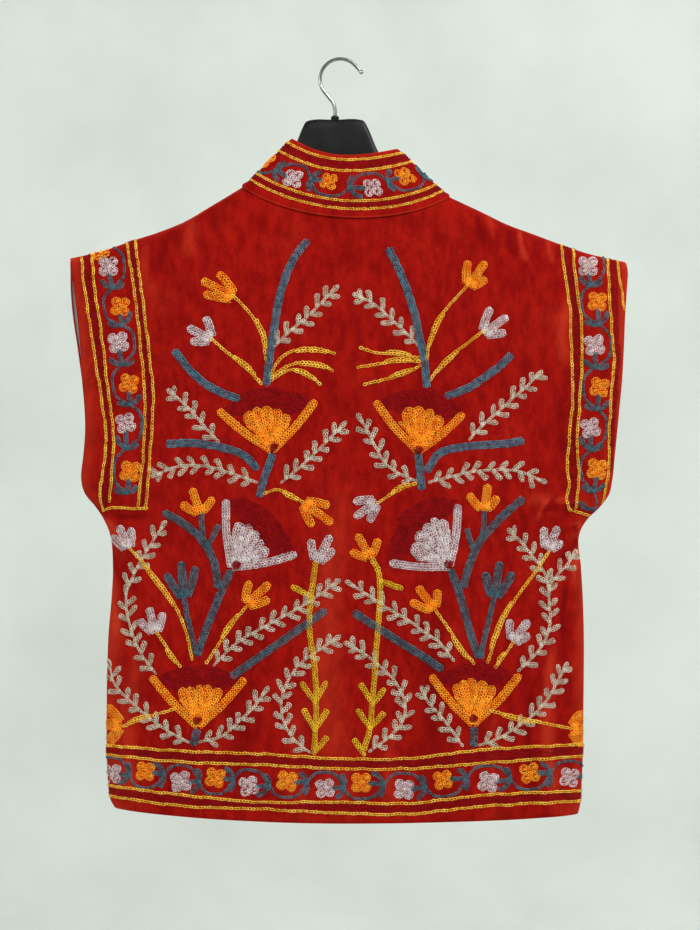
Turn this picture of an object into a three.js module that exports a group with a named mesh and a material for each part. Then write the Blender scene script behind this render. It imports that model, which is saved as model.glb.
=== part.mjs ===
// A sleeveless velvet jacket on a coat hanger: a back, two fronts that meet edge to edge, a standing
// collar and a pale lining at the armholes, over a moulded hanger with a steel hook.
// Units are millimetres, +Z is up. The origin is where the inside of the hook bears on its nail.
// The jacket's back faces -Y and its fronts face +Y. Left and right are the wearer's: left is -X.
import * as THREE from "three";

// ---- Driving dimensions -------------------------------------------------------------------------
const wall = 2; // velvet and lining together
const seamGap = 0.3; // between two pieces at a seam
const frontGap = 1; // between the two front edges
const jacketX = 7.5; // the jacket's centre line, to the right of the hook's bearing point

const tipZ = -209; // height of the shoulder tips
const underarmZ = -497; // height of the bottom of the armholes
const hemZ = -783; // height of the hem at the left side seam
const hemBow = 14; // the hem hangs this much lower at the centre
const hemSlant = { left: 0, right: 6.5 }; // and this much at each side seam
const neckHalf = 106; // half width of the neckline, at the shoulder seams
const neckDrop = { back: 28, front: 126 }; // depth of the neckline below the shoulder seams
const neckPower = { back: 0.8, front: 0.5 }; // how square the neckline's curve is
const ridgeSlope = 0.8; // rise of the shoulder line where it would cross the neck
const roll = 22; // the cloth turns over the shoulder within this height
const armholeGap = 20; // the widest gap between the back's and the front's armhole edges
const sideRound = 6; // power of the rounding towards the side seams
const fullness = { back: 1, front: 0.95 };
const depthAtNeck = 14; // half depth of the jacket along the shoulder, at the centre line
const depthAtTip = 23; // and at the ends of the hanger
const depthAtChest = 24;
const depthAtHem = 20;
const chestZ = -300;

// The edge of the body from the hem up: half widths to the left and right of the centre line, and
// how far the left front's armhole edge stands out past the back's.
const outline = [
  { z: hemZ, left: 243, right: 244, out: 0 },
  { z: -776, left: 247, right: 246, out: 0 },
  { z: -764, left: 249, right: 247, out: 0 },
  { z: -722, left: 251, right: 249, out: 0 },
  { z: -680, left: 251, right: 249.5, out: 0 },
  { z: -640, left: 250.5, right: 250, out: 0 },
  { z: -600, left: 249, right: 250, out: 0 },
  { z: -565, left: 246, right: 249, out: 0 },
  { z: -530, left: 244.5, right: 247, out: 0 },
  { z: underarmZ, left: 247.5, right: 245, out: 0 },
  { z: -481, left: 254, right: 253, out: 0 },
  { z: -468, left: 262.5, right: 266, out: 0 },
  { z: -455, left: 273, right: 275.5, out: 0 },
  { z: -440, left: 277, right: 279, out: 0 },
  { z: -414, left: 274.5, right: 281.5, out: 0 },
  { z: -388, left: 272.5, right: 284, out: 0 },
  { z: -361, left: 273.5, right: 286.5, out: 0 },
  { z: -334, left: 276, right: 289, out: 1.5 },
  { z: -300, left: 278, right: 291, out: 4 },
  { z: -268, left: 281.5, right: 292.5, out: 5 },
  { z: -241, left: 285, right: 294.5, out: 3.5 },
  { z: -229, left: 287, right: 295.5, out: 2.5 },
  { z: -221, left: 288, right: 296, out: 1.5 },
  { z: -215, left: 288.7, right: 295.5, out: 0.8 },
  { z: -211, left: 289, right: 294.5, out: 0.3 },
  { z: tipZ, left: 289, right: 293.5, out: 0 },
];

// The top of each shoulder, outwards from the neckline.
const shoulder = [
  { x: neckHalf, left: -131.5, right: -142 },
  { x: 140, left: -152, right: -157.8 },
  { x: 168, left: -168.5, right: -171.5 },
  { x: 196, left: -180, right: -182 },
  { x: 225, left: -189.3, right: -192.8 },
  { x: 256, left: -200, right: -203 },
  { x: 296, left: tipZ, right: -212 },
];

// Columns of each half panel, as the distance from the centre line that they have at the shoulder.
const columns = [0, 23, 45, 65, 81, 92.5, 100, 104.5, neckHalf, 127, 152, 178, 204, 230, 254, 272, 282, 287];

// Soft folds: where each one starts and ends, how far it leans, its half width and its depth.
const folds = {
  back: [
    { x: 139, top: -172, end: -232, lean: -0.1, half: 9, depth: 1.8 },
    { x: 166, top: -182, end: -250, lean: -0.15, half: 9, depth: 2 },
    { x: 196, top: -192, end: -262, lean: -0.2, half: 10, depth: 1.8 },
    { x: -176, top: -190, end: -300, lean: 0.25, half: 16, depth: 2 },
    { x: 212, top: -470, end: -620, lean: 0.5, half: 15, depth: 3 },
    { x: -208, top: -480, end: -640, lean: -0.35, half: 17, depth: 3 },
    { x: 222, top: -560, end: -790, lean: 0, half: 13, depth: 2.5 },
    { x: -196, top: -600, end: -790, lean: 0.05, half: 20, depth: 3 },
    { x: 96, top: -520, end: -800, lean: 0.04, half: 26, depth: 2.5 },
    { x: -28, top: -540, end: -800, lean: 0, half: 30, depth: 2.5 },
  ],
  front: [
    { x: 150, top: -230, end: -560, lean: 0.1, half: 24, depth: 3 },
    { x: -158, top: -240, end: -600, lean: -0.08, half: 26, depth: 3 },
    { x: 205, top: -480, end: -770, lean: 0.05, half: 18, depth: 3 },
    { x: -200, top: -480, end: -760, lean: -0.05, half: 19, depth: 3 },
    { x: 78, top: -420, end: -800, lean: 0, half: 28, depth: 2.5 },
    { x: -84, top: -460, end: -800, lean: 0.02, half: 26, depth: 2.5 },
  ],
};

// Collar: a band that leans in from the neckline to a narrower top edge.
const collar = {
  wall: 2.4,
  lift: 0.8, // of the collar's foot from the neckline
  lip: 1.4, // the lower edge is folded under, and stands out this much
  lipTop: 0.1, // the fold ends at this part of the height
  topHalf: { left: 58, right: 56 }, // half widths of the top edge
  topZ: -98.5, // height of the top edge at the centre back
  rise: { left: 15.5, right: 4.5 }, // of the top edge at each side
  frontFall: 106, // of the top edge, from the side to the centre front
  back: 19, // half depth of the top edge
  front: 21,
  bulge: 2.5,
  rows: [0, 0.04, 0.1, 0.3, 0.55, 0.8, 1],
};

// Lining: the pale strip inside each front that shows through the armhole.
const lining = { wall: 0.8, gap: 0.35, columns: 4, fromZ: -455, toZ: -221, edge: 0.5 };

// Hanger, in its own frame, which is tilted about the hook's bearing point.
const tilt = THREE.MathUtils.degToRad(0.7);
const hangerX = -4.6; // its centre line
const armLength = 215;
const armClearance = 6; // from the top of the shoulder down to the arm
// The block that stands up through the collar and the arm below it, outwards from the centre.
const blockTop = [
  { r: 0, z: -62 },
  { r: 26, z: -62.3 },
  { r: 31, z: -64.5 },
  { r: 35, z: -72 },
  { r: 44, z: -94 },
  { r: 60, z: -120 },
  { r: 82, z: -138 },
  { r: 118, z: -155 },
];
const armHeight = [
  { r: 0, height: 74 },
  { r: 44, height: 44 },
  { r: 82, height: 34 },
  { r: 150, height: 26 },
  { r: 200, height: 20 },
  { r: armLength, height: 12 },
];
const armHalf = [
  { r: 0, half: 7.5 },
  { r: 130, half: 8.5 },
  { r: 185, half: 14.5 },
  { r: 206, half: 13 },
  { r: armLength, half: 6 },
];
const hangerSides = 16;

// Hook: steel wire bent to an arc, with a straight tip and a straight neck.
const wireRadius = 1.9;
const hookRadius = 21.4; // of the wire's centre line
const hookCentre = { x: 1.6, z: -19.4 };
const hookArc = { from: 42, to: 218 }; // degrees, over the top from the tip's side to the neck's
const tipLength = 11.5;
const neckLength = 17;
const neckTopZ = -51;
const ferrule = { height: 4, radius: 4.3, bore: wireRadius + seamGap };

// ---- Curves -------------------------------------------------------------------------------------
const clamp = THREE.MathUtils.clamp;
const lerp = THREE.MathUtils.lerp;
const sideName = (side) => (side < 0 ? "left" : "right");

// A smooth curve through a table's rows: the value of column `to` where column `from` is `at`.
function curve(table, from, to, at) {
  const rising = table[1][from] > table[0][from];
  const rows = rising ? table : [...table].reverse();
  const last = rows.length - 1;
  const a = clamp(at, rows[0][from], rows[last][from]);
  let i = 0;
  while (i < last - 1 && rows[i + 1][from] < a) i++;
  const slope = (j, k) => (rows[k][to] - rows[j][to]) / (rows[k][from] - rows[j][from]);
  const span = rows[i + 1][from] - rows[i][from];
  const inward = i > 0 ? (slope(i - 1, i) + slope(i, i + 1)) / 2 : slope(i, i + 1);
  const outward = i + 2 <= last ? (slope(i, i + 1) + slope(i + 1, i + 2)) / 2 : slope(i, i + 1);
  const t = (a - rows[i][from]) / span;
  return (
    rows[i][to] * (1 + 2 * t) * (1 - t) ** 2 +
    inward * span * t * (1 - t) ** 2 +
    rows[i + 1][to] * t * t * (3 - 2 * t) +
    outward * span * t * t * (t - 1)
  );
}

// Height of the top of the shoulder, and over the neck the line that it would follow.
function ridge(side, r) {
  const name = sideName(side);
  return r < neckHalf ? shoulder[0][name] + (neckHalf - r) * ridgeSlope : curve(shoulder, "x", name, r);
}

function neckline(face, side, r) {
  const middle = (shoulder[0].left + shoulder[0].right) / 2;
  const open = Math.max(0, 1 - (r / neckHalf) ** 2);
  return lerp(middle, shoulder[0][sideName(side)], r / neckHalf) - neckDrop[face] * open ** neckPower[face];
}

const topEdge = (face, side, r) => (r < neckHalf ? neckline(face, side, r) : ridge(side, r));

// How far the folds push the cloth out at a point.
function foldsAt(face, x, z) {
  return folds[face].reduce((sum, f) => {
    const along = clamp((f.top - z) / (f.top - f.end), 0, 1);
    const across = (x - f.x - f.lean * (f.top - z)) / f.half;
    return sum + f.depth * Math.exp(-across * across) * Math.sin(Math.PI * Math.min(1, along * 1.2)) ** 2;
  }, 0);
}

// Half depth of the jacket: it follows the hanger at the top, and hangs free below.
function depthAt(side, r, z) {
  const top = lerp(depthAtNeck, depthAtTip, Math.min(1, r / 200));
  const low = lerp(depthAtChest, depthAtHem, clamp((chestZ - z) / (chestZ - hemZ), 0, 1));
  return lerp(top, low, THREE.MathUtils.smoothstep(ridge(side, r) - z, roll, 6 * roll));
}

// ---- Cloth --------------------------------------------------------------------------------------
// A point of the body. `column` is a column's distance from the centre line at the shoulder, `edgeZ`
// the height of its row at the edge, and `inset` is 0 on the outside of the cloth and the wall inside.
function bodyPoint(face, side, column, edgeZ, inset) {
  const name = sideName(side);
  const tip = outline.at(-1)[name];
  const u = Math.min(1, column / tip);
  const out = face === "front" && side < 0 ? curve(outline, "z", "out", edgeZ) : 0;
  const width = curve(outline, "z", name, edgeZ) + out * u ** 8 - inset;
  const inner = face === "front" ? frontGap / 2 : 0;
  const x = side * (inner + u * (width - inner));
  const lift = clamp((edgeZ - underarmZ) / (tipZ - underarmZ), 0, 1);
  const hung = clamp((tipZ - edgeZ) / (tipZ - hemZ), 0, 1);
  const bow = hemBow * hung * (1 - u * u) + hemSlant[name] * hung ** 3 * u * u;
  const atTop = inset * lift ** 4 * Math.min(1, column / neckHalf) ** 10;
  const z = edgeZ + lift * (topEdge(face, side, column) - tipZ) - bow - atTop;
  const below = clamp((ridge(side, column) - atTop - z) / roll, 0, 1);
  const turned = Math.sqrt(1 - (1 - below) ** 2);
  const rounded = Math.sqrt(Math.max(0, 1 - u ** sideRound));
  const opening = armholeGap * Math.sin(Math.PI * lift) ** 0.7;
  const edge = (seamGap + opening) / 2;
  const full = depthAt(side, column, z) * fullness[face] - inset + foldsAt(face, x, z);
  const y = edge + Math.max(0, full - edge) * turned * rounded;
  return new THREE.Vector3(jacketX + x, face === "back" ? -y : y, z);
}

// A closed wall between two grids of points with the same rows and columns.
function shell(outer, inner) {
  const rows = outer.length;
  const cols = outer[0].length;
  const points = [...outer.flat(), ...inner.flat()];
  const at = (row, col, deep) => (deep ? rows * cols : 0) + row * cols + col;
  const index = [];
  const quad = (a, b, c, d) => index.push(a, b, c, a, c, d);
  for (let r = 0; r < rows - 1; r++)
    for (let c = 0; c < cols - 1; c++) {
      quad(at(r, c), at(r, c + 1), at(r + 1, c + 1), at(r + 1, c));
      quad(at(r, c, 1), at(r + 1, c, 1), at(r + 1, c + 1, 1), at(r, c + 1, 1));
    }
  for (let c = 0; c < cols - 1; c++) {
    quad(at(0, c), at(0, c, 1), at(0, c + 1, 1), at(0, c + 1));
    quad(at(rows - 1, c), at(rows - 1, c + 1), at(rows - 1, c + 1, 1), at(rows - 1, c, 1));
  }
  for (let r = 0; r < rows - 1; r++) {
    quad(at(r, 0), at(r + 1, 0), at(r + 1, 0, 1), at(r, 0, 1));
    quad(at(r, cols - 1, 1), at(r + 1, cols - 1, 1), at(r + 1, cols - 1), at(r, cols - 1));
  }
  return facingOut(new THREE.BufferGeometry().setFromPoints(points), index);
}

// Turns the faces round if the volume that they enclose comes out negative.
function facingOut(geometry, index) {
  const p = geometry.attributes.position;
  const corner = (i) => new THREE.Vector3().fromBufferAttribute(p, index[i]);
  let volume = 0;
  for (let i = 0; i < index.length; i += 3)
    volume += corner(i).dot(corner(i + 1).cross(corner(i + 2)));
  geometry.setIndex(volume < 0 ? index.reverse() : index);
  geometry.computeVertexNormals();
  return geometry;
}

const rowHeights = outline.map((row) => row.z);
const halfColumns = (side) => [...columns, outline.at(-1)[sideName(side)]];

function backPanel() {
  const across = [
    ...halfColumns(-1).map((c) => [-1, c]).reverse(),
    ...halfColumns(1).map((c) => [1, c]).slice(1),
  ];
  const grid = (inset) =>
    rowHeights.map((z) => across.map(([side, c]) => bodyPoint("back", side, c, z, inset)));
  return shell(grid(0), grid(wall));
}

function frontPanel(side) {
  const grid = (inset) =>
    rowHeights.map((z) => halfColumns(side).map((c) => bodyPoint("front", side, c, z, inset)));
  return shell(grid(0), grid(wall));
}

// The lining lies inside the front's wall, along the armhole.
function liningStrip(side) {
  const heights = rowHeights.filter((z) => z >= lining.fromZ && z <= lining.toZ);
  const across = halfColumns(side).slice(-lining.columns - 1, -1);
  const depth = wall + lining.gap;
  const grid = (inset) =>
    heights.map((z) => across.map((c) => bodyPoint("front", side, c - lining.edge, z, inset)));
  return shell(grid(depth), grid(depth + lining.wall));
}

// ---- Collar -------------------------------------------------------------------------------------
// Its foot stands on the neckline, column by column, and its top edge is an oval.
function collarPoint(face, side, column, height, inset) {
  const foot = bodyPoint(face, side, column, tipZ, inset * (wall / collar.wall));
  const across = (side * column) / neckHalf;
  const along = Math.sqrt(1 - across * across);
  const rise = collar.rise[sideName(side)] * across * across;
  const fall = face === "front" ? collar.frontFall * along : 0;
  const depth = (collar[face] - inset) * along ** 0.6;
  const inner = face === "front" ? side * frontGap : 0;
  const head = new THREE.Vector3(
    jacketX + (collar.topHalf[sideName(side)] - inset) * across + inner * along,
    face === "back" ? -depth : depth,
    collar.topZ + rise - fall,
  );
  foot.z += collar.lift;
  const fold = inset ? 0 : collar.lip * Math.sin(Math.PI * clamp(height / collar.lipTop, 0, 1));
  const bulge = collar.bulge * Math.sin(Math.PI * height);
  const away = face === "back" ? -1 : 1;
  foot.lerp(head, height).add(new THREE.Vector3(fold * across, away * along * (fold + bulge), 0));
  return foot;
}

function collarBand() {
  const foot = columns.filter((c) => c <= neckHalf);
  const inward = [...foot].reverse().slice(1);
  const round = [
    ...foot.map((c) => ["front", -1, c]),
    ...inward.map((c) => ["back", -1, c]),
    ...foot.slice(1).map((c) => ["back", 1, c]),
    ...inward.map((c) => ["front", 1, c]),
  ];
  const grid = (inset) =>
    collar.rows.map((h) => round.map(([face, side, c]) => collarPoint(face, side, c, h, inset)));
  return shell(grid(0), grid(collar.wall));
}

// ---- Hanger -------------------------------------------------------------------------------------
// Height of the hanger's top edge at a distance from its centre, low enough for both shoulders.
function armTop(r) {
  if (r <= blockTop.at(-1).r) return curve(blockTop, "r", "z", r);
  const tilted = (side) =>
    ridge(side, Math.abs(hangerX + side * r - jacketX)) - side * r * Math.tan(tilt);
  return Math.min(tilted(-1), tilted(1)) - armClearance;
}

function hangerBody() {
  const stations = [0, 12, 26, 31, 35, 39, 44, 52, 60, 70, 82, 100, 120, 145, 165, 185, 198, 206, 212];
  const half = [...stations, armLength];
  const across = [...half.slice(1).reverse().map((r) => -r), ...half];
  const rings = across.map((x) => {
    const r = Math.abs(x);
    const top = armTop(r);
    const height = curve(armHeight, "r", "height", r);
    const width = curve(armHalf, "r", "half", r);
    return Array.from({ length: hangerSides }, (_, i) => {
      const a = (2 * Math.PI * i) / hangerSides;
      return new THREE.Vector3(
        hangerX + x,
        width * Math.cos(a),
        top - height / 2 + (height / 2) * Math.sin(a),
      );
    });
  });
  return loft(rings);
}

// A closed body through rings of points, with flat ends.
function loft(rings) {
  const n = rings[0].length;
  const index = [];
  for (let i = 0; i < rings.length - 1; i++)
    for (let j = 0; j < n; j++) {
      const k = (j + 1) % n;
      index.push(i * n + j, i * n + k, (i + 1) * n + k, i * n + j, (i + 1) * n + k, (i + 1) * n + j);
    }
  const last = (rings.length - 1) * n;
  for (let j = 1; j < n - 1; j++) index.push(0, j + 1, j, last, last + j, last + j + 1);
  return facingOut(new THREE.BufferGeometry().setFromPoints(rings.flat()), index);
}

function hookWire() {
  const onArc = (degrees, out = 0) => {
    const a = THREE.MathUtils.degToRad(degrees);
    return new THREE.Vector3(
      hookCentre.x + hookRadius * Math.cos(a) + out * Math.sin(a),
      0,
      hookCentre.z + hookRadius * Math.sin(a) - out * Math.cos(a),
    );
  };
  const arc = Array.from({ length: 19 }, (_, i) => onArc(lerp(hookArc.from, hookArc.to, i / 18)));
  const points = [
    onArc(hookArc.from, tipLength),
    onArc(hookArc.from, tipLength / 2),
    ...arc,
    onArc(hookArc.to, -neckLength / 2),
    onArc(hookArc.to, -neckLength + 3),
    new THREE.Vector3(hangerX, 0, neckTopZ),
    new THREE.Vector3(hangerX, 0, blockTop[0].z + seamGap),
  ];
  const section = new THREE.Shape().absarc(0, 0, wireRadius, 0, 2 * Math.PI);
  const path = new THREE.CatmullRomCurve3(points, false, "centripetal");
  return new THREE.ExtrudeGeometry(section, { steps: 72, extrudePath: path, curveSegments: 10 });
}

function ferruleRing() {
  const { height, radius, bore } = ferrule;
  const profile = [
    [bore, 0],
    [radius, 0],
    [radius, height - 1],
    [radius - 1, height],
    [bore, height],
    [bore, 0],
  ].map(([r, z]) => new THREE.Vector2(r, z));
  const ring = new THREE.LatheGeometry(profile, 16).rotateX(Math.PI / 2);
  return ring.translate(hangerX, 0, blockTop[0].z + seamGap);
}

// ---- Materials and assembly ---------------------------------------------------------------------
const velvet = new THREE.MeshStandardMaterial({ color: 0xa81812, roughness: 0.85, metalness: 0 });
const cotton = new THREE.MeshStandardMaterial({ color: 0xc9c6c4, roughness: 0.9, metalness: 0 });
const plastic = new THREE.MeshStandardMaterial({ color: 0x242624, roughness: 0.5, metalness: 0 });
const steel = new THREE.MeshStandardMaterial({ color: 0xb4b6b0, roughness: 0.25, metalness: 1 });

function piece(name, geometry, material) {
  const mesh = new THREE.Mesh(geometry, material);
  mesh.name = name;
  return mesh;
}

const jacket = new THREE.Group().add(
  piece("back", backPanel(), velvet),
  piece("front_left", frontPanel(-1), velvet),
  piece("front_right", frontPanel(1), velvet),
  piece("collar", collarBand(), velvet),
  piece("lining_left", liningStrip(-1), cotton),
  piece("lining_right", liningStrip(1), cotton),
);

const hanger = new THREE.Group().add(
  piece("hanger", hangerBody(), plastic),
  piece("ferrule", ferruleRing(), plastic),
  piece("hook", hookWire(), steel),
);
hanger.rotation.y = -tilt;

export default new THREE.Group().add(jacket, hanger);
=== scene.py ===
import math

import bpy
import numpy as np
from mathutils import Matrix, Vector
from mathutils.bvhtree import BVHTree


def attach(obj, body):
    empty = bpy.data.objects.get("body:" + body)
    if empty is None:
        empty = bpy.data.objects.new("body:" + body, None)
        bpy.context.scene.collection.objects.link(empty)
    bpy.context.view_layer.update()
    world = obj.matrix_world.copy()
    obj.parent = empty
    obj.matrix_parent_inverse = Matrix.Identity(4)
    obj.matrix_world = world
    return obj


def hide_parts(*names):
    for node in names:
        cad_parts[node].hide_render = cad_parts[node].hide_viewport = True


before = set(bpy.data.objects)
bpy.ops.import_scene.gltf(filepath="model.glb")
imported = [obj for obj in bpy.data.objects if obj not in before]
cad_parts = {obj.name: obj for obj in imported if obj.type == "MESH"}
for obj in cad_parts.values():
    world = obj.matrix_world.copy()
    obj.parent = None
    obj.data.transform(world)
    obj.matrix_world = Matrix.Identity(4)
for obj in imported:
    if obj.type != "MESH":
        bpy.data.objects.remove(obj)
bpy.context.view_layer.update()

# ---- Camera ----
# It stands square to the jacket's back, in metres. The needlework is drawn on squared paper that
# faces it, in squares counted to the right and down, with the hook's bend at PAPER_ORIGIN. The view is
# 700 squares wide and 930 high.
SQUARE = 0.00105
PAPER_ORIGIN = (338.6, 60.8)


def paper(x, y):
    return Vector(((x - PAPER_ORIGIN[0]) * SQUARE, 0, (PAPER_ORIGIN[1] - y) * SQUARE))


view_width, view_height = 700, 930
distance, film = 2.3, 36
eye = paper(view_width / 2, view_height / 2) - Vector((0, distance, 0))
camera = bpy.data.objects.new("camera", bpy.data.cameras.new("camera"))
camera.data.sensor_fit = "VERTICAL"
camera.data.sensor_height = film
camera.data.lens = film * distance / (view_height * SQUARE)
camera.location = eye
camera.rotation_euler = (math.pi / 2, 0, 0)
bpy.context.scene.collection.objects.link(camera)
bpy.context.scene.camera = camera


# ---- Hook ----
# One bent steel wire, plated and worn bright, with a small ball rolled on its free end. Its straight
# neck is moulded into the hanger, through a black plastic bead.
class Finish:
    """One output of a node. Arithmetic on it adds Math nodes, and node() adds any other."""

    def __init__(self, tree, socket=None):
        self.tree, self.socket = tree, socket

    def node(self, kind, settings=None, inputs=None, output=0):
        made = self.tree.nodes.new(kind)
        for name, value in (settings or {}).items():
            setattr(made, name, value)
        for name, value in (inputs or {}).items():
            if isinstance(value, Finish):
                self.tree.links.new(value.socket, made.inputs[name])
            else:
                made.inputs[name].default_value = value
        return Finish(self.tree, made.outputs[output])

    def maths(self, operation, *values):
        return self.node("ShaderNodeMath", {"operation": operation}, dict(enumerate(values)))

    def __add__(self, other):
        return self.maths("ADD", self, other)

    def __mul__(self, other):
        return self.maths("MULTIPLY", self, other)

    def __sub__(self, other):
        return self.maths("SUBTRACT", self, other)

    def __rsub__(self, other):
        return self.maths("SUBTRACT", other, self)

    __radd__, __rmul__ = __add__, __mul__

    def between(self, low, high):
        """0 where this is under low, 1 over high, and smooth between them."""
        span = {"From Min": low, "From Max": high, "To Min": 0, "To Max": 1, "Value": self}
        return self.node("ShaderNodeMapRange", {"interpolation_type": "SMOOTHSTEP"}, span)

    def blend(self, first, second):
        """The first colour where this is 0 and the second where it is 1."""
        return self.node("ShaderNodeMix", {"data_type": "RGBA"}, {0: self, 6: first, 7: second}, 2)

    def noise(self, scale, detail=2, roughness=0.5, stretch=(1, 1, 1)):
        """Cloudy noise over the object's own coordinates."""
        where = self.node("ShaderNodeTexCoord", output=3)
        where = self.node("ShaderNodeMapping", None, {"Vector": where, "Scale": stretch})
        sizes = {"Vector": where, "Scale": scale, "Detail": detail, "Roughness": roughness}
        return self.node("ShaderNodeTexNoise", None, sizes)

    def bump(self, height, strength, distance):
        sizes = {"Strength": strength, "Distance": distance, "Height": height}
        return self.node("ShaderNodeBump", None, sizes)


def colour(red, green, blue):
    """A screen colour from 0 to 255, as the light that the surface gives back."""
    part = np.array([red, green, blue]) / 255
    light = np.where(part <= 0.04045, part / 12.92, ((part + 0.055) / 1.055) ** 2.4)
    return (*light.tolist(), 1)


def finish(name, constants):
    """A new material with these constants on its shader: the material, its shader, its first term."""
    made = bpy.data.materials.new(name)
    made.use_nodes = True
    shader = made.node_tree.nodes["Principled BSDF"]
    for socket, value in constants.items():
        shader.inputs[socket].default_value = value
    return made, shader, Finish(made.node_tree)


def feed(shader, links):
    for name, value in links.items():
        value.tree.links.new(value.socket, shader.inputs[name])


def solid(name, points, faces, materials, slots=None):
    """A smooth closed mesh of points in millimetres, turned so that its faces point outwards."""
    points = np.asarray(points, float) / 1000
    first = points[[f[0] for f in faces]]
    volume = 0
    for k in range(1, max(len(f) for f in faces) - 1):
        some = [i for i, f in enumerate(faces) if len(f) > k + 1]
        second = points[[faces[i][k] for i in some]]
        third = points[[faces[i][k + 1] for i in some]]
        volume += (first[some] * np.cross(second, third)).sum()
    if volume < 0:
        faces = [tuple(reversed(f)) for f in faces]
    mesh = bpy.data.meshes.new(name)
    mesh.from_pydata(points.tolist(), [], faces)
    for material in materials:
        mesh.materials.append(material)
    if slots is not None:
        mesh.polygons.foreach_set("material_index", slots)
    mesh.polygons.foreach_set("use_smooth", [True] * len(faces))
    made = bpy.data.objects.new(name, mesh)
    bpy.context.scene.collection.objects.link(made)
    return made


def loft(rings):
    """Points and faces of a body through equal rings of points, closed by a fan at each end."""
    count, n = len(rings), len(rings[0])
    points = [*np.concatenate(rings), rings[0].mean(axis=0), rings[-1].mean(axis=0)]
    faces = []
    for i in range(count - 1):
        for j in range(n):
            k = (j + 1) % n
            faces.append((i * n + j, i * n + k, (i + 1) * n + k, (i + 1) * n + j))
    start, end, last = count * n, count * n + 1, (count - 1) * n
    for j in range(n):
        k = (j + 1) % n
        faces += [(start, k, j), (end, last + j, last + k)]
    return points, faces


tilt = math.radians(0.7)
hanger_x = -4.6  # of the hanger's middle from the hook's bend, in millimetres


def tilted(points):
    """The hanger hangs a little out of level on its hook."""
    points = np.asarray(points, float)
    x, y, z = points.T
    turned = x * math.cos(tilt) - z * math.sin(tilt), y, z * math.cos(tilt) + x * math.sin(tilt)
    return np.column_stack(turned)


# in millimetres: the middle of the bend, the bend's radius to the middle of the wire, and half of
# the wire's thickness
bend_x, bend_z, bend_radius, wire_half = 1.6, -19.4, 21.4, 1.9
bend_start, bend_end = 42, 218  # in degrees, from the free end to the neck


def turns(count):
    """Angles evenly round a circle."""
    return np.linspace(0, 2 * math.pi, count, endpoint=False)


def on_bend(degrees, out=0.0):
    """A place on the bend, or as far out along the line that leaves it there."""
    a = math.radians(degrees)
    x = bend_x + bend_radius * math.cos(a) + out * math.sin(a)
    return x, 0, bend_z + bend_radius * math.sin(a) - out * math.cos(a)


def curve(at, values, where):
    """A smooth line through values at increasing places, read at other places."""
    at, values = np.asarray(at, float), np.asarray(values, float)
    secant = np.diff(values) / np.diff(at)
    slope = np.concatenate([secant[:1], (secant[:-1] + secant[1:]) / 2, secant[-1:]])
    where = np.clip(where, at[0], at[-1])
    i = np.clip(np.searchsorted(at, where) - 1, 0, len(at) - 2)
    span = at[i + 1] - at[i]
    t = (where - at[i]) / span
    near = values[i] * (1 + 2 * t) * (1 - t) ** 2 + slope[i] * span * t * (1 - t) ** 2
    return near + values[i + 1] * t * t * (3 - 2 * t) + slope[i + 1] * span * t * t * (t - 1)


wire_path = [on_bend(bend_start, 11.5), on_bend(bend_start, 6)]
wire_path += [on_bend(a) for a in np.linspace(bend_start, bend_end, 30)]
wire_path += [on_bend(bend_end, -8.5), on_bend(bend_end, -14)]
wire_path = np.array([*wire_path, (hanger_x, 0, -51), (hanger_x, 0, -61.5)])
along = np.concatenate([[0], np.cumsum(np.linalg.norm(np.diff(wire_path, axis=0), axis=1))])
places = np.linspace(0, along[-1], 110)
centre = np.column_stack([curve(along, wire_path[:, k], places) for k in range(3)])
# The ball is a swelling over the wire's first few millimetres.
ball = 0.75 * np.exp(-(((places - 1.6) / 1.3) ** 2)) + np.where(places < 0.8, -1.1, 0)
direction = np.gradient(centre, axis=0)
direction /= np.linalg.norm(direction, axis=1)[:, None]
across = np.cross(direction, (0, 1, 0))
wire_turns = turns(14)
sideways, forward = np.cos(wire_turns)[:, None], np.sin(wire_turns)[:, None] * np.array([0, 1, 0])
rings = [
    p + (wire_half + swell) * (sideways * a + forward) for p, a, swell in zip(centre, across, ball)
]
steel, shader, term = finish("plated_steel", {"Metallic": 1.0, "Specular IOR Level": 0.5})
wear_and_painted_sheen = term.noise(90, 4, 0.6, (1, 1, 0.3)).between(0.35, 0.7)
feed(
    shader,
    {
        "Base Color": wear_and_painted_sheen.blend(colour(148, 152, 149), colour(104, 107, 104)),
        "Roughness": 0.16 + 0.2 * wear_and_painted_sheen,
        "Normal": term.bump(term.noise(900, 3), 0.15, 0.0004),
    },
)
points, faces = loft(rings)
hook = solid("hook_wire", tilted(points), faces, [steel])
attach(hook, "root")
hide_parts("hook")

# ---- Hanger ----
# A broad coat hanger moulded in black plastic: a flat-fronted block stands up through the collar, and
# two wide arms carry the shoulders. The bead at the foot of the wire is part of the same moulding.
plastic, shader, term = finish("black_plastic", {"Specular IOR Level": 0.2})
scuffs = term.noise(38, 5, 0.65).between(0.42, 0.75)
grain = term.noise(1500, 2)
feed(
    shader,
    {
        "Base Color": scuffs.blend(colour(7, 8, 7), colour(16, 17, 15)),
        "Roughness": 0.38 + 0.16 * scuffs + 0.06 * grain,
        "Normal": term.bump(grain + 2 * scuffs, 0.12, 0.0005),
    },
)
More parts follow.
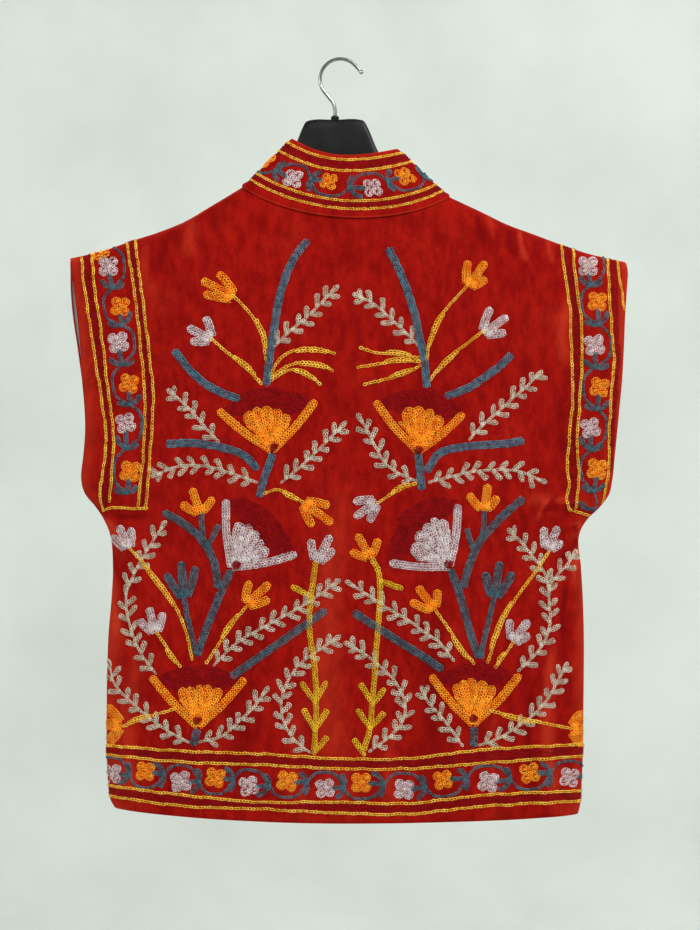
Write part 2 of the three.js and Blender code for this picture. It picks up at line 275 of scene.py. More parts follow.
# r is the distance from the hanger's centre, and the block's top ends where the arm's begins.
block_end = 118
block_top = {
    "r": [0, 26, 31, 35, 44, 60, 82, block_end],
    "z": [-62, -62.3, -64.5, -72, -94, -120, -138, -155],
}
arm_top = {
    "r": [block_end, 132, 152, 180, 208, 215],
    "z": [-155, -162.5, -172, -185, -195, -197.5],
}
arm_height = {"r": [0, 44, 82, 150, 200, 215], "height": [74, 44, 34, 26, 20, 12]}
arm_half = {"r": [0, 130, 185, 206, 215], "half": [7.5, 8.5, 14, 12.5, 6]}
stations = np.concatenate([np.linspace(0, 28, 8), np.linspace(29, 46, 18), np.linspace(49, 214, 56)])
stations = np.concatenate([-stations[:0:-1], stations])
corners = 28
wide, tall = np.cos(turns(corners)), np.sin(turns(corners))
rings = []
for x in stations:
    r = abs(x)
    top = curve(*(block_top if r <= block_end else arm_top).values(), r)
    height, half = curve(*arm_height.values(), r), curve(*arm_half.values(), r)
    # nearly square in section at the block, and round along the arms
    square = 0.45 if r < 60 else 0.45 + 0.45 * min(1, (r - 60) / 50)
    y, z = (np.sign(part) * np.abs(part) ** square for part in (wide, tall))
    ring = [np.full(corners, hanger_x + x), half * y, top - height / 2 + height / 2 * z]
    rings.append(np.column_stack(ring))
points, faces = loft(rings)
hanger = solid("hanger_body", tilted(points), faces, [plastic])
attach(hanger, "root")
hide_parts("hanger")

# radius and height of the bead's outline, from its foot
bead_profile = [(2.2, 0), (3.9, 0), (4.3, 0.4), (4.3, 2.4), (3.9, 3.1), (2.9, 3.9), (2.2, 4)]
bead_foot, count, n = -61.7, 40, len(bead_profile)
points = [
    (hanger_x + r * math.cos(a), r * math.sin(a), bead_foot + z)
    for a in turns(count)
    for r, z in bead_profile
]
faces = [
    (i * n + j, (i + 1) % count * n + j, (i + 1) % count * n + (j + 1) % n, i * n + (j + 1) % n)
    for i in range(count)
    for j in range(n)
]
bead = solid("hook_bead", tilted(points), faces, [plastic])
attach(bead, "root")
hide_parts("ferrule")

# ---- Back ----
# One wide panel of deep red cotton velvet with its pale cotton lining, cut so that the shoulder drops
# into a short cap. Its weight pulls it flat between the hanger and the hem, with a few soft creases.
jacket_x, neck_half = 7.5, 106.0
tip_z, underarm_z, hem_z = -209.0, -497.0, -783.0
edge_table = np.array(
    # z, then left and right, the half widths either side of the centre line, and how far the left
    # front's armhole edge stands out past the back's
    [
        (hem_z, 243, 244, 0),
        (-776, 247, 246, 0),
        (-764, 249, 247, 0),
        (-722, 251, 249, 0),
        (-680, 251, 249.5, 0),
        (-640, 250.5, 250, 0),
        (-600, 249, 250, 0),
        (-565, 246, 249, 0),
        (-530, 244.5, 247, 0),
        (underarm_z, 247.5, 245, 0),
        (-481, 254, 253, 0),
        (-468, 262.5, 266, 0),
        (-455, 273, 275.5, 0),
        (-440, 277, 279, 0),
        (-414, 274.5, 281.5, 0),
        (-388, 272.5, 284, 0),
        (-361, 273.5, 286.5, 0.6),
        (-334, 276, 289, 2.4),
        (-300, 278, 291, 5),
        (-268, 281.5, 292.5, 6),
        (-241, 285, 294.5, 4.5),
        (-229, 287, 295.5, 2.5),
        (-221, 288, 296, 1.5),
        (-215, 288.7, 295.5, 0.8),
        (-211, 289, 294.5, 0.3),
        (tip_z, 289, 293.5, 0),
    ],
    float,
)
shoulder_x = [neck_half, 140, 168, 196, 225, 256, 296]
shoulder_z = {
    -1: [-131.5, -152, -168.5, -180, -189.3, -200, tip_z],
    1: [-142, -157.8, -171.5, -182, -192.8, -203, -212],
}
tip_half = {-1: 289.0, 1: 293.5}
# Creases: start and end in squares of the drawing, then half width and height in millimetres. A
# negative height is a trough.
creases = {
    "back": [
        # from the right shoulder, where it is dragged down
        ((476, 212), (485, 250), 3.6, -2.2),
        ((488, 216), (497, 246), 4.5, 1.6),
        ((500, 222), (497, 244), 3.2, -1.8),
        ((506, 224), (513, 262), 3.6, -2.0),
        ((518, 231), (526, 266), 3.4, 2.6),
        ((531, 235), (537, 262), 3.6, -1.6),
        ((546, 240), (553, 268), 3.4, 2.0),
        ((557, 245), (560, 262), 3, -1.4),
        # from the left shoulder
        ((196, 222), (190, 262), 9, 1.8),
        ((170, 236), (163, 285), 9, -1.8),
        ((222, 205), (214, 240), 9, -1.4),
        ((148, 246), (150, 300), 8, 1.5),
        # from the right underarm
        ((590, 513), (538, 509), 3.2, -2.0),
        ((577, 531), (559, 508), 2.8, -2.2),
        ((583, 529), (565, 520), 2.8, 2.4),
        ((546, 500), (535, 524), 3.0, 2.0),
        ((556, 493), (546, 512), 2.8, -1.6),
        ((584, 536), (556, 566), 4.0, -2.6),
        ((584, 544), (568, 590), 4.0, 2.6),
        ((571, 566), (563, 650), 5, -2.2),
        ((590, 508), (520, 500), 7, 2.0),
        # from the left underarm
        ((103, 519), (142, 548), 5, 2.4),
        ((106, 532), (134, 592), 5, -2.4),
        ((98, 510), (158, 515), 5, -2.2),
        ((110, 552), (120, 640), 6, 2.0),
        # down the right armhole
        ((566, 300), (562, 372), 8, 1.8),
        ((560, 392), (566, 470), 9, -1.8),
        # long soft falls towards the hem
        ((345, 480), (349, 825), 20, 1.6),
        ((258, 590), (250, 825), 16, -1.5),
        ((440, 590), (452, 825), 17, -1.8),
        ((141, 650), (136, 815), 12, 1.8),
        ((176, 700), (180, 820), 10, -1.4),
        ((552, 640), (560, 818), 9, 2.2),
        ((533, 676), (537, 818), 8, -2.0),
        ((300, 700), (303, 822), 10, 1.2),
        ((392, 716), (398, 822), 10, 1.3),
        ((495, 702), (500, 818), 9, 1.2),
    ],
    "front": [
        ((200, 300), (190, 560), 20, 2.4),
        ((482, 290), (494, 540), 18, 2.2),
        ((255, 380), (248, 800), 22, -2.0),
        ((436, 410), (441, 800), 22, 2.0),
        ((300, 420), (296, 815), 16, 1.8),
        ((392, 430), (398, 815), 15, -1.8),
        ((112, 540), (150, 590), 9, 2.2),
        ((580, 530), (540, 582), 9, 2.2),
        ((581, 545), (556, 630), 8, -2.0),
        ((109, 560), (128, 650), 8, -1.8),
        ((150, 620), (145, 812), 12, 1.8),
        ((540, 610), (546, 812), 12, 1.8),
        ((196, 640), (199, 815), 11, -1.4),
        ((500, 640), (497, 815), 12, -1.6),
        ((190, 232), (182, 290), 9, 1.6),
        ((508, 236), (518, 286), 8, -1.6),
    ],
}
# The larger falls of the cloth, in millimetres from the jacket's centre line: place, top, end, how
# far it leans over for each millimetre down, half width and depth.
falls = {
    "back": [
        (139, -172, -232, -0.1, 9, 1.8),
        (166, -182, -250, -0.15, 9, 2),
        (196, -192, -262, -0.2, 10, 1.8),
        (-176, -190, -300, 0.25, 16, 2),
        (212, -470, -620, 0.5, 15, 3),
        (-208, -480, -640, -0.35, 17, 3),
        (222, -560, -790, 0, 13, 2.5),
        (-196, -600, -790, 0.05, 20, 3),
        (96, -520, -800, 0.04, 26, 2.5),
        (-28, -540, -800, 0, 30, 2.5),
    ],
    "front": [
        (150, -230, -560, 0.1, 24, 3),
        (-158, -240, -600, -0.08, 26, 3),
        (205, -480, -770, 0.05, 18, 3),
        (-200, -480, -760, -0.05, 19, 3),
        (78, -420, -800, 0, 28, 2.5),
        (-84, -460, -800, 0.02, 26, 2.5),
    ],
}
# Painted highlights: soft patches where the velvet's colour is painted lighter as if broad light fell
# there. Place in squares of the drawing, half width and half height in millimetres, and how much.
painted_highlight_patches = {
    "back": [
        ((163, 302), 15, 24, 0.26),
        ((150, 345), 10, 30, 0.16),
        ((545, 320), 26, 14, 0.24),
        ((528, 352), 18, 12, 0.14),
        ((118, 640), 12, 34, 0.16),
        ((345, 790), 60, 9, 0.1),
    ],
    "front": [],
}
# How the body hangs, in millimetres.
hem_dip, right_dip = 14, 6.5  # of the hem, at the centre and at the right side
shoulder_turn = 22  # height over which the cloth turns over at the shoulder
side_seam, armhole_gape = 0.15, 10  # half gap between back and front, at a seam and at the armhole
neck_depth, tip_more = 14, 9  # half depth under the shoulder at the neck, and how much more further out
chest_depth, hem_less = 24, 4  # half depth at the chest, and how much less at the hem
chest_z, chest_drop = -300, 110  # height of the chest, and over what height the depth grows to it


def ridge(side, r):
    """Height of the top of the shoulder, and over the neck the line that it would follow."""
    over = shoulder_z[side][0] + (neck_half - r) * 0.8
    return np.where(r < neck_half, over, curve(shoulder_x, shoulder_z[side], r))


# depth of the neckline and the power of its curve
necklines = {"back": (28, 0.8), "front": (126, 0.5)}


def top_edge(face, side, r):
    """Height of the neckline, and past it of the shoulder."""
    drop, power = necklines[face]
    middle = (shoulder_z[-1][0] + shoulder_z[1][0]) / 2
    part = r / neck_half
    neck = middle + (shoulder_z[side][0] - middle) * part
    neck = neck - drop * np.maximum(0, 1 - part**2) ** power
    return np.where(r < neck_half, neck, ridge(side, r))


def relief(face, x, z):
    """How far the falls and creases push the cloth out, at places in millimetres."""
    out = np.zeros(np.broadcast(x, z).shape)
    for place, top, end, lean, half, depth in falls[face]:
        fall = np.clip((top - z) / (top - end), 0, 1)
        side = (x - place - lean * (top - z)) / half
        out += depth * np.exp(-side * side) * np.sin(math.pi * np.minimum(1, fall * 1.2)) ** 2
    return out + creased(face, x, z)


def creased(face, x, z):
    """How far the creases alone push the cloth out."""
    out = np.zeros(np.broadcast(x, z).shape)
    for start, end, half, height in creases[face]:
        a, b = (np.array([paper(*p).x * 1000 - jacket_x, paper(*p).z * 1000]) for p in (start, end))
        length = np.hypot(*(b - a))
        ux, uz = (b - a) / length
        t = ((x - a[0]) * ux + (z - a[1]) * uz) / length
        bend = 0.06 * length * np.sin(math.pi * np.clip(t, 0, 1))
        off = ((x - a[0]) * uz - (z - a[1]) * ux - bend) / (half * (0.75 + 0.5 * np.clip(t, 0, 1)))
        ends = np.clip(np.minimum(t + 0.12, (1.1 - t) * 0.8) / 0.3, 0, 1)
        out += height * np.exp(-off * off) * ends * ends * (3 - 2 * ends)
    return out


def cloth(face, side, column, edge_z, inset=0.0):
    """A point of the body: column is its distance from the centre line at the shoulder, edge_z the
    height of its row at the edge, and inset is 0 on the outside of the cloth."""
    table = edge_table
    width = curve(table[:, 0], table[:, 1 if side < 0 else 2], edge_z)
    u = np.minimum(1, column / tip_half[side])
    if face == "front" and side < 0:
        width = width + curve(table[:, 0], table[:, 3], edge_z) * u**8
    inner = 0.5 if face == "front" else 0
    x = side * (inner + u * (width - inset - inner))
    lift = np.clip((edge_z - underarm_z) / (tip_z - underarm_z), 0, 1)
    hung = np.clip((tip_z - edge_z) / (tip_z - hem_z), 0, 1)
    bow = hem_dip * hung * (1 - u * u) + (right_dip if side > 0 else 0) * hung**3 * u * u
    at_top = inset * lift**4 * np.minimum(1, column / neck_half) ** 10
    z = edge_z + lift * (top_edge(face, side, column) - tip_z) - bow - at_top
    below = np.clip((ridge(side, column) - at_top - z) / shoulder_turn, 0, 1)
    turned = np.sqrt(1 - (1 - below) ** 2)
    rounded = np.sqrt(np.maximum(0, 1 - u**6))
    edge = side_seam + armhole_gape * np.sin(math.pi * lift) ** 0.7
    near_top = neck_depth + tip_more * np.minimum(1, column / 200)
    low = chest_depth - hem_less * np.clip((chest_z - z) / (chest_z - hem_z), 0, 1)
    step = np.clip((ridge(side, column) - z - shoulder_turn) / chest_drop, 0, 1)
    full = near_top + (low - near_top) * step * step * (3 - 2 * step)
    full = full * (0.95 if face == "front" else 1) - inset + relief(face, x, z)
    y = edge + np.maximum(0, full - edge) * turned * rounded
    if face == "back":
        y = -y
    return np.stack(np.broadcast_arrays(jacket_x + x, y, z), axis=-1)


near_edge = np.array([0, 0.5, 1.2, 2.2, 3.6, 5.2, 7.2, 9.6, 12.4, 15.6, 19, 23])


def panel_rows(step):
    """Heights at the edge of a panel's rows, closer together near the shoulder."""
    return np.concatenate([np.arange(hem_z, tip_z - 25, step), tip_z - near_edge[::-1]])


def half_columns(side, step):
    """Distances of a panel's columns from the centre line, closer together near the neck and edge."""
    near_neck = [98, 101, 103, 104.6, 105.6, 106, 107.5, 110]
    tip = tip_half[side] - np.array([10.5, 7, 4.5, 2.6, 1.2, 0.4, 0])
    return np.concatenate([np.arange(0, 96, step), near_neck, np.arange(113, 277, step), tip])


def paint_sheen_shade(face, rows, columns, side):
    """Painted sheen and shade for the velvet's colour: up to 1 of painted highlight near the outer edges,
    the hem, the shoulder line, a few broad patches and the crease ridges, 0 on flat cloth, and below 0 of
    painted shade in the crease troughs."""
    spots = cloth(face, side, columns[None, :], rows[:, None])
    from_edge = tip_half[side] - columns[None, :]
    from_hem = rows[:, None] - hem_z
    from_top = np.maximum(0, ridge(side, columns[None, :]) - spots[..., 2])
    near = 0.6 * np.exp(-((from_edge / 14) ** 2)) + 0.15 * np.exp(-((from_hem / 10) ** 2))
    near = near + 0.25 * np.exp(-((from_top / 6) ** 2))
    for place, wide, tall, how_much in painted_highlight_patches[face]:
        centre = paper(*place) * 1000
        off = ((spots[..., 0] - centre.x) / wide) ** 2 + ((spots[..., 2] - centre.z) / tall) ** 2
        near = near + how_much * np.exp(-off)
    # crease ridges get painted highlight and crease troughs painted shade
    return np.clip(near + 0.3 * creased(face, spots[..., 0] - jacket_x, spots[..., 2]), -1, 1)


def grid_faces(m, n):
    """The number of each point in a grid of m rows of n, and the faces between them."""
    number = np.arange(m * n).reshape(m, n)
    quads = np.stack([number[:-1, :-1], number[:-1, 1:], number[1:, 1:], number[1:, :-1]], -1)
    return number, quads.reshape(-1, 4)


def shell(name, outer, inner, push, materials, painted_sheen_shade=None):
    """A closed wall between two grids of points: velvet outside, lining inside, and a rounded rim, which
    push moves out. The last argument gives each outer point its painted highlight where it is above 0 and
    its painted shade where it is below 0, and the rim is painted at full highlight."""
    m, n = outer.shape[:2]
    number, quads = grid_faces(m, n)
    rim = np.concatenate([number[0, :-1], number[:-1, -1], number[-1, :0:-1], number[:0:-1, 0]])
    middle = (outer.reshape(-1, 3)[rim] + inner.reshape(-1, 3)[rim]) / 2 + push.reshape(-1, 3)[rim]
    points = np.concatenate([outer.reshape(-1, 3), inner.reshape(-1, 3), middle])
    after, ring = np.roll(rim, -1), 2 * m * n + np.arange(len(rim))
    over = np.stack([rim, ring, np.roll(ring, -1), after], -1)
    under = np.stack([ring, rim + m * n, after + m * n, np.roll(ring, -1)], -1)
    faces = np.concatenate([quads, quads[:, ::-1] + m * n, over, under])
    slots = np.zeros(len(faces), int)
    slots[len(quads) : 2 * len(quads)] = 1
    made = solid(name, points, [tuple(f) for f in faces.tolist()], materials, slots.tolist())
    # painted highlight and shade for the velvet's colour, with the rim at full painted highlight
    wear_and_painted_sheen = np.zeros(len(points))
    if painted_sheen_shade is not None:
        wear_and_painted_sheen[: m * n] = painted_sheen_shade.ravel()
    wear_and_painted_sheen[2 * m * n :] = 1
    made.data.attributes.new("painted_sheen_shade", "FLOAT", "POINT").data.foreach_set("value", wear_and_painted_sheen)
    return made


def rim_push(grid, rows, seam_side):
    """The hem is rolled down a little, and the armhole edges towards each other."""
    push = np.zeros(grid.shape)
    push[0, :, 2] = -0.9
    lift = np.clip((rows - underarm_z) / (tip_z - underarm_z), 0, 1)
    armhole = 0.9 * np.sin(math.pi * lift) ** 0.5
    for edge in seam_side:
        push[:, edge, 1] = -np.sign(grid[len(rows) // 2, grid.shape[1] // 2, 1]) * armhole
    return push


velvet, shader, term = finish(
    "red_velvet",
    {
        "Specular IOR Level": 0.02,
        "Sheen Weight": 0.5,
        "Sheen Roughness": 0.3,
        "Sheen Tint": colour(255, 52, 26),
    },
)
cloud = term.noise(6.5, 3, 0.55)
brushed = term.noise(26, 4, 0.62, (1, 1, 0.7))
crushed = term.noise(90, 4, 0.65, (1, 1, 0.5))
nap = (cloud * 0.12 + brushed * 0.06 + crushed * 0.82).between(0.34, 0.66)
pile = term.noise(1400, 2, 0.6)
# painted sheen and shade carried on the mesh: above 0 a painted highlight, below 0 painted shade
velvet_painted_light = term.node("ShaderNodeAttribute", {"attribute_name": "painted_sheen_shade"}, None, 2)
shade = nap.blend(colour(114, 7, 5), colour(147, 19, 11))
shade = (brushed.between(0.55, 0.78) * 0.3).blend(shade, colour(172, 38, 22))
# painted highlight: a lighter orange red on edges, ridges and patches
shade = (velvet_painted_light * (0.5 + 0.7 * crushed)).between(0, 1).blend(shade, colour(184, 52, 30))
# painted shade: a darker red in the crease troughs
shade = (velvet_painted_light * -1).between(0, 1).blend(shade, colour(84, 3, 5))
feed(
    shader,
    {
        "Base Color": (pile.between(0.25, 0.75) * 0.5).blend(shade, colour(104, 4, 4)),
        "Roughness": 0.72 + 0.16 * nap,
        "Normal": term.bump(pile * 0.5 + crushed * 3 + brushed * 4, 0.5, 0.001),
    },
)
cotton, shader, term = finish("lining_cotton", {"Specular IOR Level": 0.2, "Sheen Weight": 0.15})
where = term.node("ShaderNodeTexCoord", output=3)
wave = {"Vector": where, "Scale": 380}
threads_across = term.node("ShaderNodeTexWave", {"bands_direction": "X"}, wave, 1)
threads_down = term.node("ShaderNodeTexWave", {"bands_direction": "Z"}, wave, 1)
soft = term.noise(18, 3)
feed(
    shader,
    {
        "Base Color": soft.between(0.3, 0.7).blend(colour(228, 225, 227), colour(246, 244, 245)),
        "Roughness": 0.82 + 0.1 * soft,
        "Normal": term.bump(threads_across * threads_down + soft, 0.3, 0.0005),
    },
)


def across_back(draw):
    """A grid over both halves of the back."""
    left, right = (draw(side, half_columns(side, 2.95)) for side in (-1, 1))
    return np.concatenate([left[:, :0:-1], right], axis=1)


rows = panel_rows(3.6)
back_outer, back_inner = (
    across_back(lambda side, c: cloth("back", side, c[None, :], rows[:, None], inset))
    for inset in (0, 2)
)
# the back's painted sheen and shade
painted_sheen_shade = across_back(lambda side, c: paint_sheen_shade("back", rows, c, side))
push = rim_push(back_outer, rows, (0, -1))
back = shell("back_panel", back_outer, back_inner, push, [velvet, cotton], painted_sheen_shade)
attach(back, "root")
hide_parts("back")

# ---- Fronts ----
# Two panels of the same velvet and lining, joined to the back at the shoulders and sides. They meet
# edge to edge at the centre front, with no fastening. At the left armhole the front stands out a
# little past the back, so that its pale lining shows.
front_outer = {}
rows = panel_rows(5.6)
for side, name in ((-1, "left"), (1, "right")):
    c = half_columns(side, 5)
    grid = [cloth("front", side, c[None, :], rows[:, None], inset) for inset in (0, 2)]
    front_outer[side] = grid[0]
    push = rim_push(grid[0], rows, (-1,))
    # each front's painted sheen and shade
    painted_sheen_shade = paint_sheen_shade("front", rows, c, side)
    panel = shell(f"front_{name}_panel", *grid, push, [velvet, cotton], painted_sheen_shade)
    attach(panel, "root")
    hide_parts(f"front_{name}")

# The lining's own edge strip at each armhole, felled to the inside of the front.
strip_rows = np.linspace(-455, -221, 48)
for side, name in ((-1, "left"), (1, "right")):
    across = np.linspace(tip_half[side] - 42, tip_half[side] - 7, 12) - 0.5
    across = np.concatenate([across, tip_half[side] - np.array([5, 3, 1.7, 0.9]) - 0.5])
    grid = [
        cloth("front", side, across[None, :], strip_rows[:, None], inset) for inset in (2.35, 3.15)
    ]
    strip = shell(f"lining_{name}_strip", *grid, np.zeros(grid[0].shape), [cotton, cotton])
    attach(strip, "root")
    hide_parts(f"lining_{name}")

# ---- Collar ----
# A separate standing band of the same velvet. Its lower edge is folded under and lies on the neck
# edge of the body as a thick ridge, and its top edge leans in to a narrower oval.
around = math.pi - 0.012
angles = np.linspace(-around, around, 151)
collar_wall = 2.4
# The top edge, in millimetres: its height at the centre back and how far the front falls from there,
# its half depth at the back and the front, and its half width and rise at the left and the right.
top_z, front_fall = -102, 106
top_depth = {"back": 19, "front": 21}
top_side = {-1: (58, 19), 1: (56, 8)}
# The folded foot: how far it reaches down over the body, and how far it stands off the cloth.
foot_fold = [(0, 0.3), (1.0, 0.5), (1.8, 0.8), (2.2, 1.5), (2.1, 2.2), (1.4, 2.6), (0.4, 2.5)]
heights = np.concatenate([[0, 0.012, 0.025, 0.04, 0.055, 0.075, 0.11], np.linspace(0.16, 1, 18)])


def collar_point(angle, height, inset, fold=None):
    """A point of the collar, at an angle round the neck from the centre back and a part of its
    height, or on its folded foot."""
    side = -1 if math.sin(angle) < 0 else 1
    face = "back" if abs(angle) <= math.pi / 2 else "front"
    across = math.sin(angle)
    along = math.sqrt(max(0, 1 - across * across))
    column = np.array(neck_half * abs(across))
    away = -1 if face == "back" else 1
    outward = np.array([across, away * along, 0.35 * abs(across)])
    if fold:
        down, out = fold
        return cloth(face, side, column, np.array(tip_z - down)) + outward * out
    foot = cloth(face, side, column, np.array(tip_z), inset * 2 / collar_wall) + (0, 0, 0.8)
    half, rise = top_side[side]
    depth = (top_depth[face] - inset) * along**0.6
    top = top_z + rise * across * across
    gap = 0
    if face == "front":
        top -= front_fall * along
        gap = side * along
    head = np.array([jacket_x + (half - inset) * across + gap, away * depth, top])
    # it bulges a little, and creases softly where it is squeezed at the sides
    full = 2.5 + 0.6 * math.sin(angle * 9 + 1) + 0.4 * math.sin(angle * 17)
    out = full * math.sin(math.pi * height) * along
    if not inset:
        # over the folded foot
        out += 2.3 * math.exp(-((height / 0.07) ** 2))
    return foot + (head - foot) * height + outward * out


folded = [[collar_point(a, 0, 0, fold) for a in angles] for fold in foot_fold]
collar_outer = np.array(folded + [[collar_point(a, h, 0) for a in angles] for h in heights])
inside = np.concatenate([np.linspace(0, 0.14, len(foot_fold) + 6), heights[6:]])
collar_inner = np.array([[collar_point(a, h, collar_wall) for a in angles] for h in inside])
push = np.zeros(collar_outer.shape)
push[-1, :, 2] = 0.8
# painted highlight along the fold of the foot, and a weaker one along the top edge
painted_sheen_shade = np.zeros(collar_outer.shape[:2])
painted_sheen_shade[4:6] = 0.6
painted_sheen_shade[-2:] = 0.3
collar = shell("collar_band", collar_outer, collar_inner, push, [velvet, cotton], painted_sheen_shade)
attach(collar, "root")
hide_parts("collar")

# ---- Needlework: the chain stitch ----
# Thick cotton thread worked in rows of chain stitch, each loop held down by the next. The drawing is
# a layout of ordinary flowers, leaves and vines; every line of it is laid on the cloth, and one loop
# is set down for each stitch.
surfaces = {}
for name, grid in (("back", back_outer), ("left", front_outer[-1]), ("right", front_outer[1])):
    points = [Vector(p) for p in (grid.reshape(-1, 3) / 1000).tolist()]
    surfaces[name] = BVHTree.FromPolygons(points, grid_faces(*grid.shape[:2])[1].tolist())

# squares along the collar from the centre back, for each angle, and the way that its cloth faces
halfway = np.array([collar_point(a, 0.5, 0) for a in angles])
collar_along = np.linalg.norm(np.diff(halfway, axis=0), axis=1)
collar_along = np.concatenate([[0], np.cumsum(collar_along)])
collar_along = (collar_along - np.interp(0, angles, collar_along)) / (1000 * SQUARE)
band = collar_outer[len(foot_fold) :]
facing = np.cross(np.gradient(band, axis=1), np.gradient(band, axis=0))
facing /= np.linalg.norm(facing, axis=2)[..., None]


def on_collar(line):
    """Places on the collar: squares along it from the centre back, and the part of its height."""
    found = []
    for s, h in line:
        if not collar_along[0] < s < collar_along[-1]:
            found.append(None)
            continue
        column = np.interp(s, collar_along, np.arange(len(angles)))
        row = np.interp(h, heights, np.arange(len(heights)))
        i, j = min(int(row), len(heights) - 2), min(int(column), len(angles) - 2)
        u, v = row - i, column - j
        here, normal = (
            (1 - u) * ((1 - v) * g[i, j] + v * g[i, j + 1])
            + u * ((1 - v) * g[i + 1, j] + v * g[i + 1, j + 1])
            for g in (band, facing)
        )
        found.append((Vector(here / 1000), Vector(normal).normalized()))
    return found


def on_body(panel, line):
    """Places on a panel, under a line of the drawing."""
    found = []
    for x, y in line:
        spot = paper(x, y)
        if panel == "back":
            hit = surfaces[panel].ray_cast(eye, (spot - eye).normalized())
        else:
            hit = surfaces[panel].ray_cast(spot + Vector((0, 1, 0)), Vector((0, -1, 0)))
        if hit[0] is None:
            found.append(None)
            continue
        normal = hit[1] if (hit[1].y < 0) == (panel == "back") else -hit[1]
        found.append((hit[0], normal))
    return found


def lengths(line):
    """How far along a line each of its points is."""
    return np.concatenate([[0], np.cumsum(np.hypot(*np.diff(line, axis=0).T))])


def smooth(points, step=1.4):
    """A smooth line through a few points, in short steps."""
    points = np.asarray(points, float)
    at = lengths(points)
    where = np.linspace(0, at[-1], max(3, int(at[-1] / step) + 1))
    return np.column_stack([curve(at, points[:, k], where) for k in (0, 1)])


def read(line, at, where):
    """Points of a line at other places, where its own points are at these."""
    return np.stack([np.interp(where, at, line[:, k]) for k in (0, 1)], axis=-1)


def square_to(way):
    """Directions turned by a right angle."""
    return np.stack([-way[..., 1], way[..., 0]], axis=-1)


def beside(line, offset):
    """A line at an offset from another."""
    slope = np.gradient(line, axis=0)
    slope /= np.maximum(np.hypot(*slope.T), 1e-6)[:, None]
    return line + square_to(slope) * np.reshape(offset, (-1, 1))


sewn = {}


def sew(panel, thread, lines, size=1.0, lift=0.3):
    """Lines of stitches; size is their size beside the largest, which are 3.6 mm long, and lift is
    how far in millimetres they stand off the cloth, on those beneath them."""
    runs = sewn.setdefault((panel, thread), [])
    for line in lines:
        found = on_collar(line) if panel == "collar" else on_body(panel, line)
        run = []
        for spot in [*found, None]:
            if spot is None or (run and (spot[0] - run[-1][0]).length > 0.012):
                if len(run) > 1:
                    runs.append((size, run))
                run = []
            if spot is not None:
                run.append((spot[0] + spot[1] * lift / 1000, spot[1]))


def stem(points, rows=1, gap=2.75):
    """Rows side by side along a line, the outer ones a little shorter so that its ends are round."""
    line = smooth(points)[1:-1]
    made = []
    for k in range(rows):
        trim = 1 if rows > 2 and k in (0, rows - 1) and len(line) > 6 else 0
        row = beside(line, (k - (rows - 1) / 2) * gap)
        made.append(row[trim : len(row) - trim][:: 1 if k % 2 else -1])
    return made


def stalk(points):
    """One row, with a second beside it where it is thickened."""
    line = smooth(points)[1:-1]
    n = len(line)
    start, count = (n // 2 if n % 2 else n // 6), max(4, int(0.4 * n))
    away = 1.0 + 1.4 * np.sin(np.linspace(0.1, math.pi - 0.1, len(line[start : start + count])))
    return [beside(line, -0.4), beside(line[start : start + count], away)]


def petal(base, tip, rows=3, bend=0.0, gap=2.75, start=0.5, wedge=None, notch=0.0):
    """A petal or leaf: loops one inside another, round at its tip. In a wedge, a half angle, each
    loop starts where there is room for it between the petals on either side."""
    base, tip = np.array(base, float), np.array(tip, float)
    line = smooth([base, (base + tip) / 2 + square_to(tip - base) * bend, tip], 1.0)
    at = lengths(line)
    slope = np.gradient(line, axis=0)
    slope /= np.hypot(*slope.T)[:, None]
    end = max(0.3 * at[-1], at[-1] - rows / 2 * gap)
    made = []

    def spot(s, off):
        return read(line, at, s) + square_to(read(slope, at, s)) * np.reshape(off, (-1, 1))

    for k in range(rows // 2):
        off = ((rows - 1) / 2 - k) * gap
        first = max(notch, (off - 0.4 * gap) / math.tan(wedge)) if wedge else notch
        leg = np.linspace(min(first, 0.8 * end), end, max(3, int((end - first) / 1.2)))
        spread = 1 if wedge else np.minimum(1, start + (1 - start) * leg / (0.55 * end))
        turn = np.radians([60, 20, -20, -60])
        cap = spot(end + off * np.cos(turn), off * np.sin(turn))
        made.append(np.concatenate([spot(leg, off * spread), cap, spot(leg, -off * spread)[::-1]]))
    if rows % 2:
        leg = np.linspace(notch, end + gap / 3, max(3, int(end / 1.2)))
        made.append(spot(leg, 0))
    return made


def sprig(points, pitch=13.2, leaf=12.8, first=5.5):
    """A thin stem with small paddle-shaped leaves, from its root to its tip."""
    line = smooth(points)
    made = [line]
    at = lengths(line)
    count = int((at[-1] - first - 4) / pitch + 1)
    for k in range(2 * count):
        place = first + (k // 2) * pitch + (0.38 * pitch if k % 2 else 0) + 1.2 * math.sin(5 * k)
        root = read(line, at, place)
        ahead = read(line, at, min(place + 3, at[-1])) - root
        if np.hypot(*ahead) < 0.5:
            ahead = line[-1] - line[-3]
        hand = 1 if k % 2 else -1
        way = math.atan2(ahead[1], ahead[0]) + hand * (0.82 + 0.13 * math.sin(3.1 * k))
        size = leaf * (0.96 + 0.12 * math.sin(2.3 * k + len(line)))
        size *= 0.85 if place > at[-1] - 8 else 1
        tip = root + size * np.array([math.cos(way), math.sin(way)])
        made += petal(root, tip, rows=2, bend=0.04 * hand, gap=2.6, start=0.4, notch=1.6)
    end = line[-1] + 8 * (line[-1] - line[-3]) / np.hypot(*(line[-1] - line[-3]))
    return made + petal(line[-2], end, rows=2, gap=2.6)


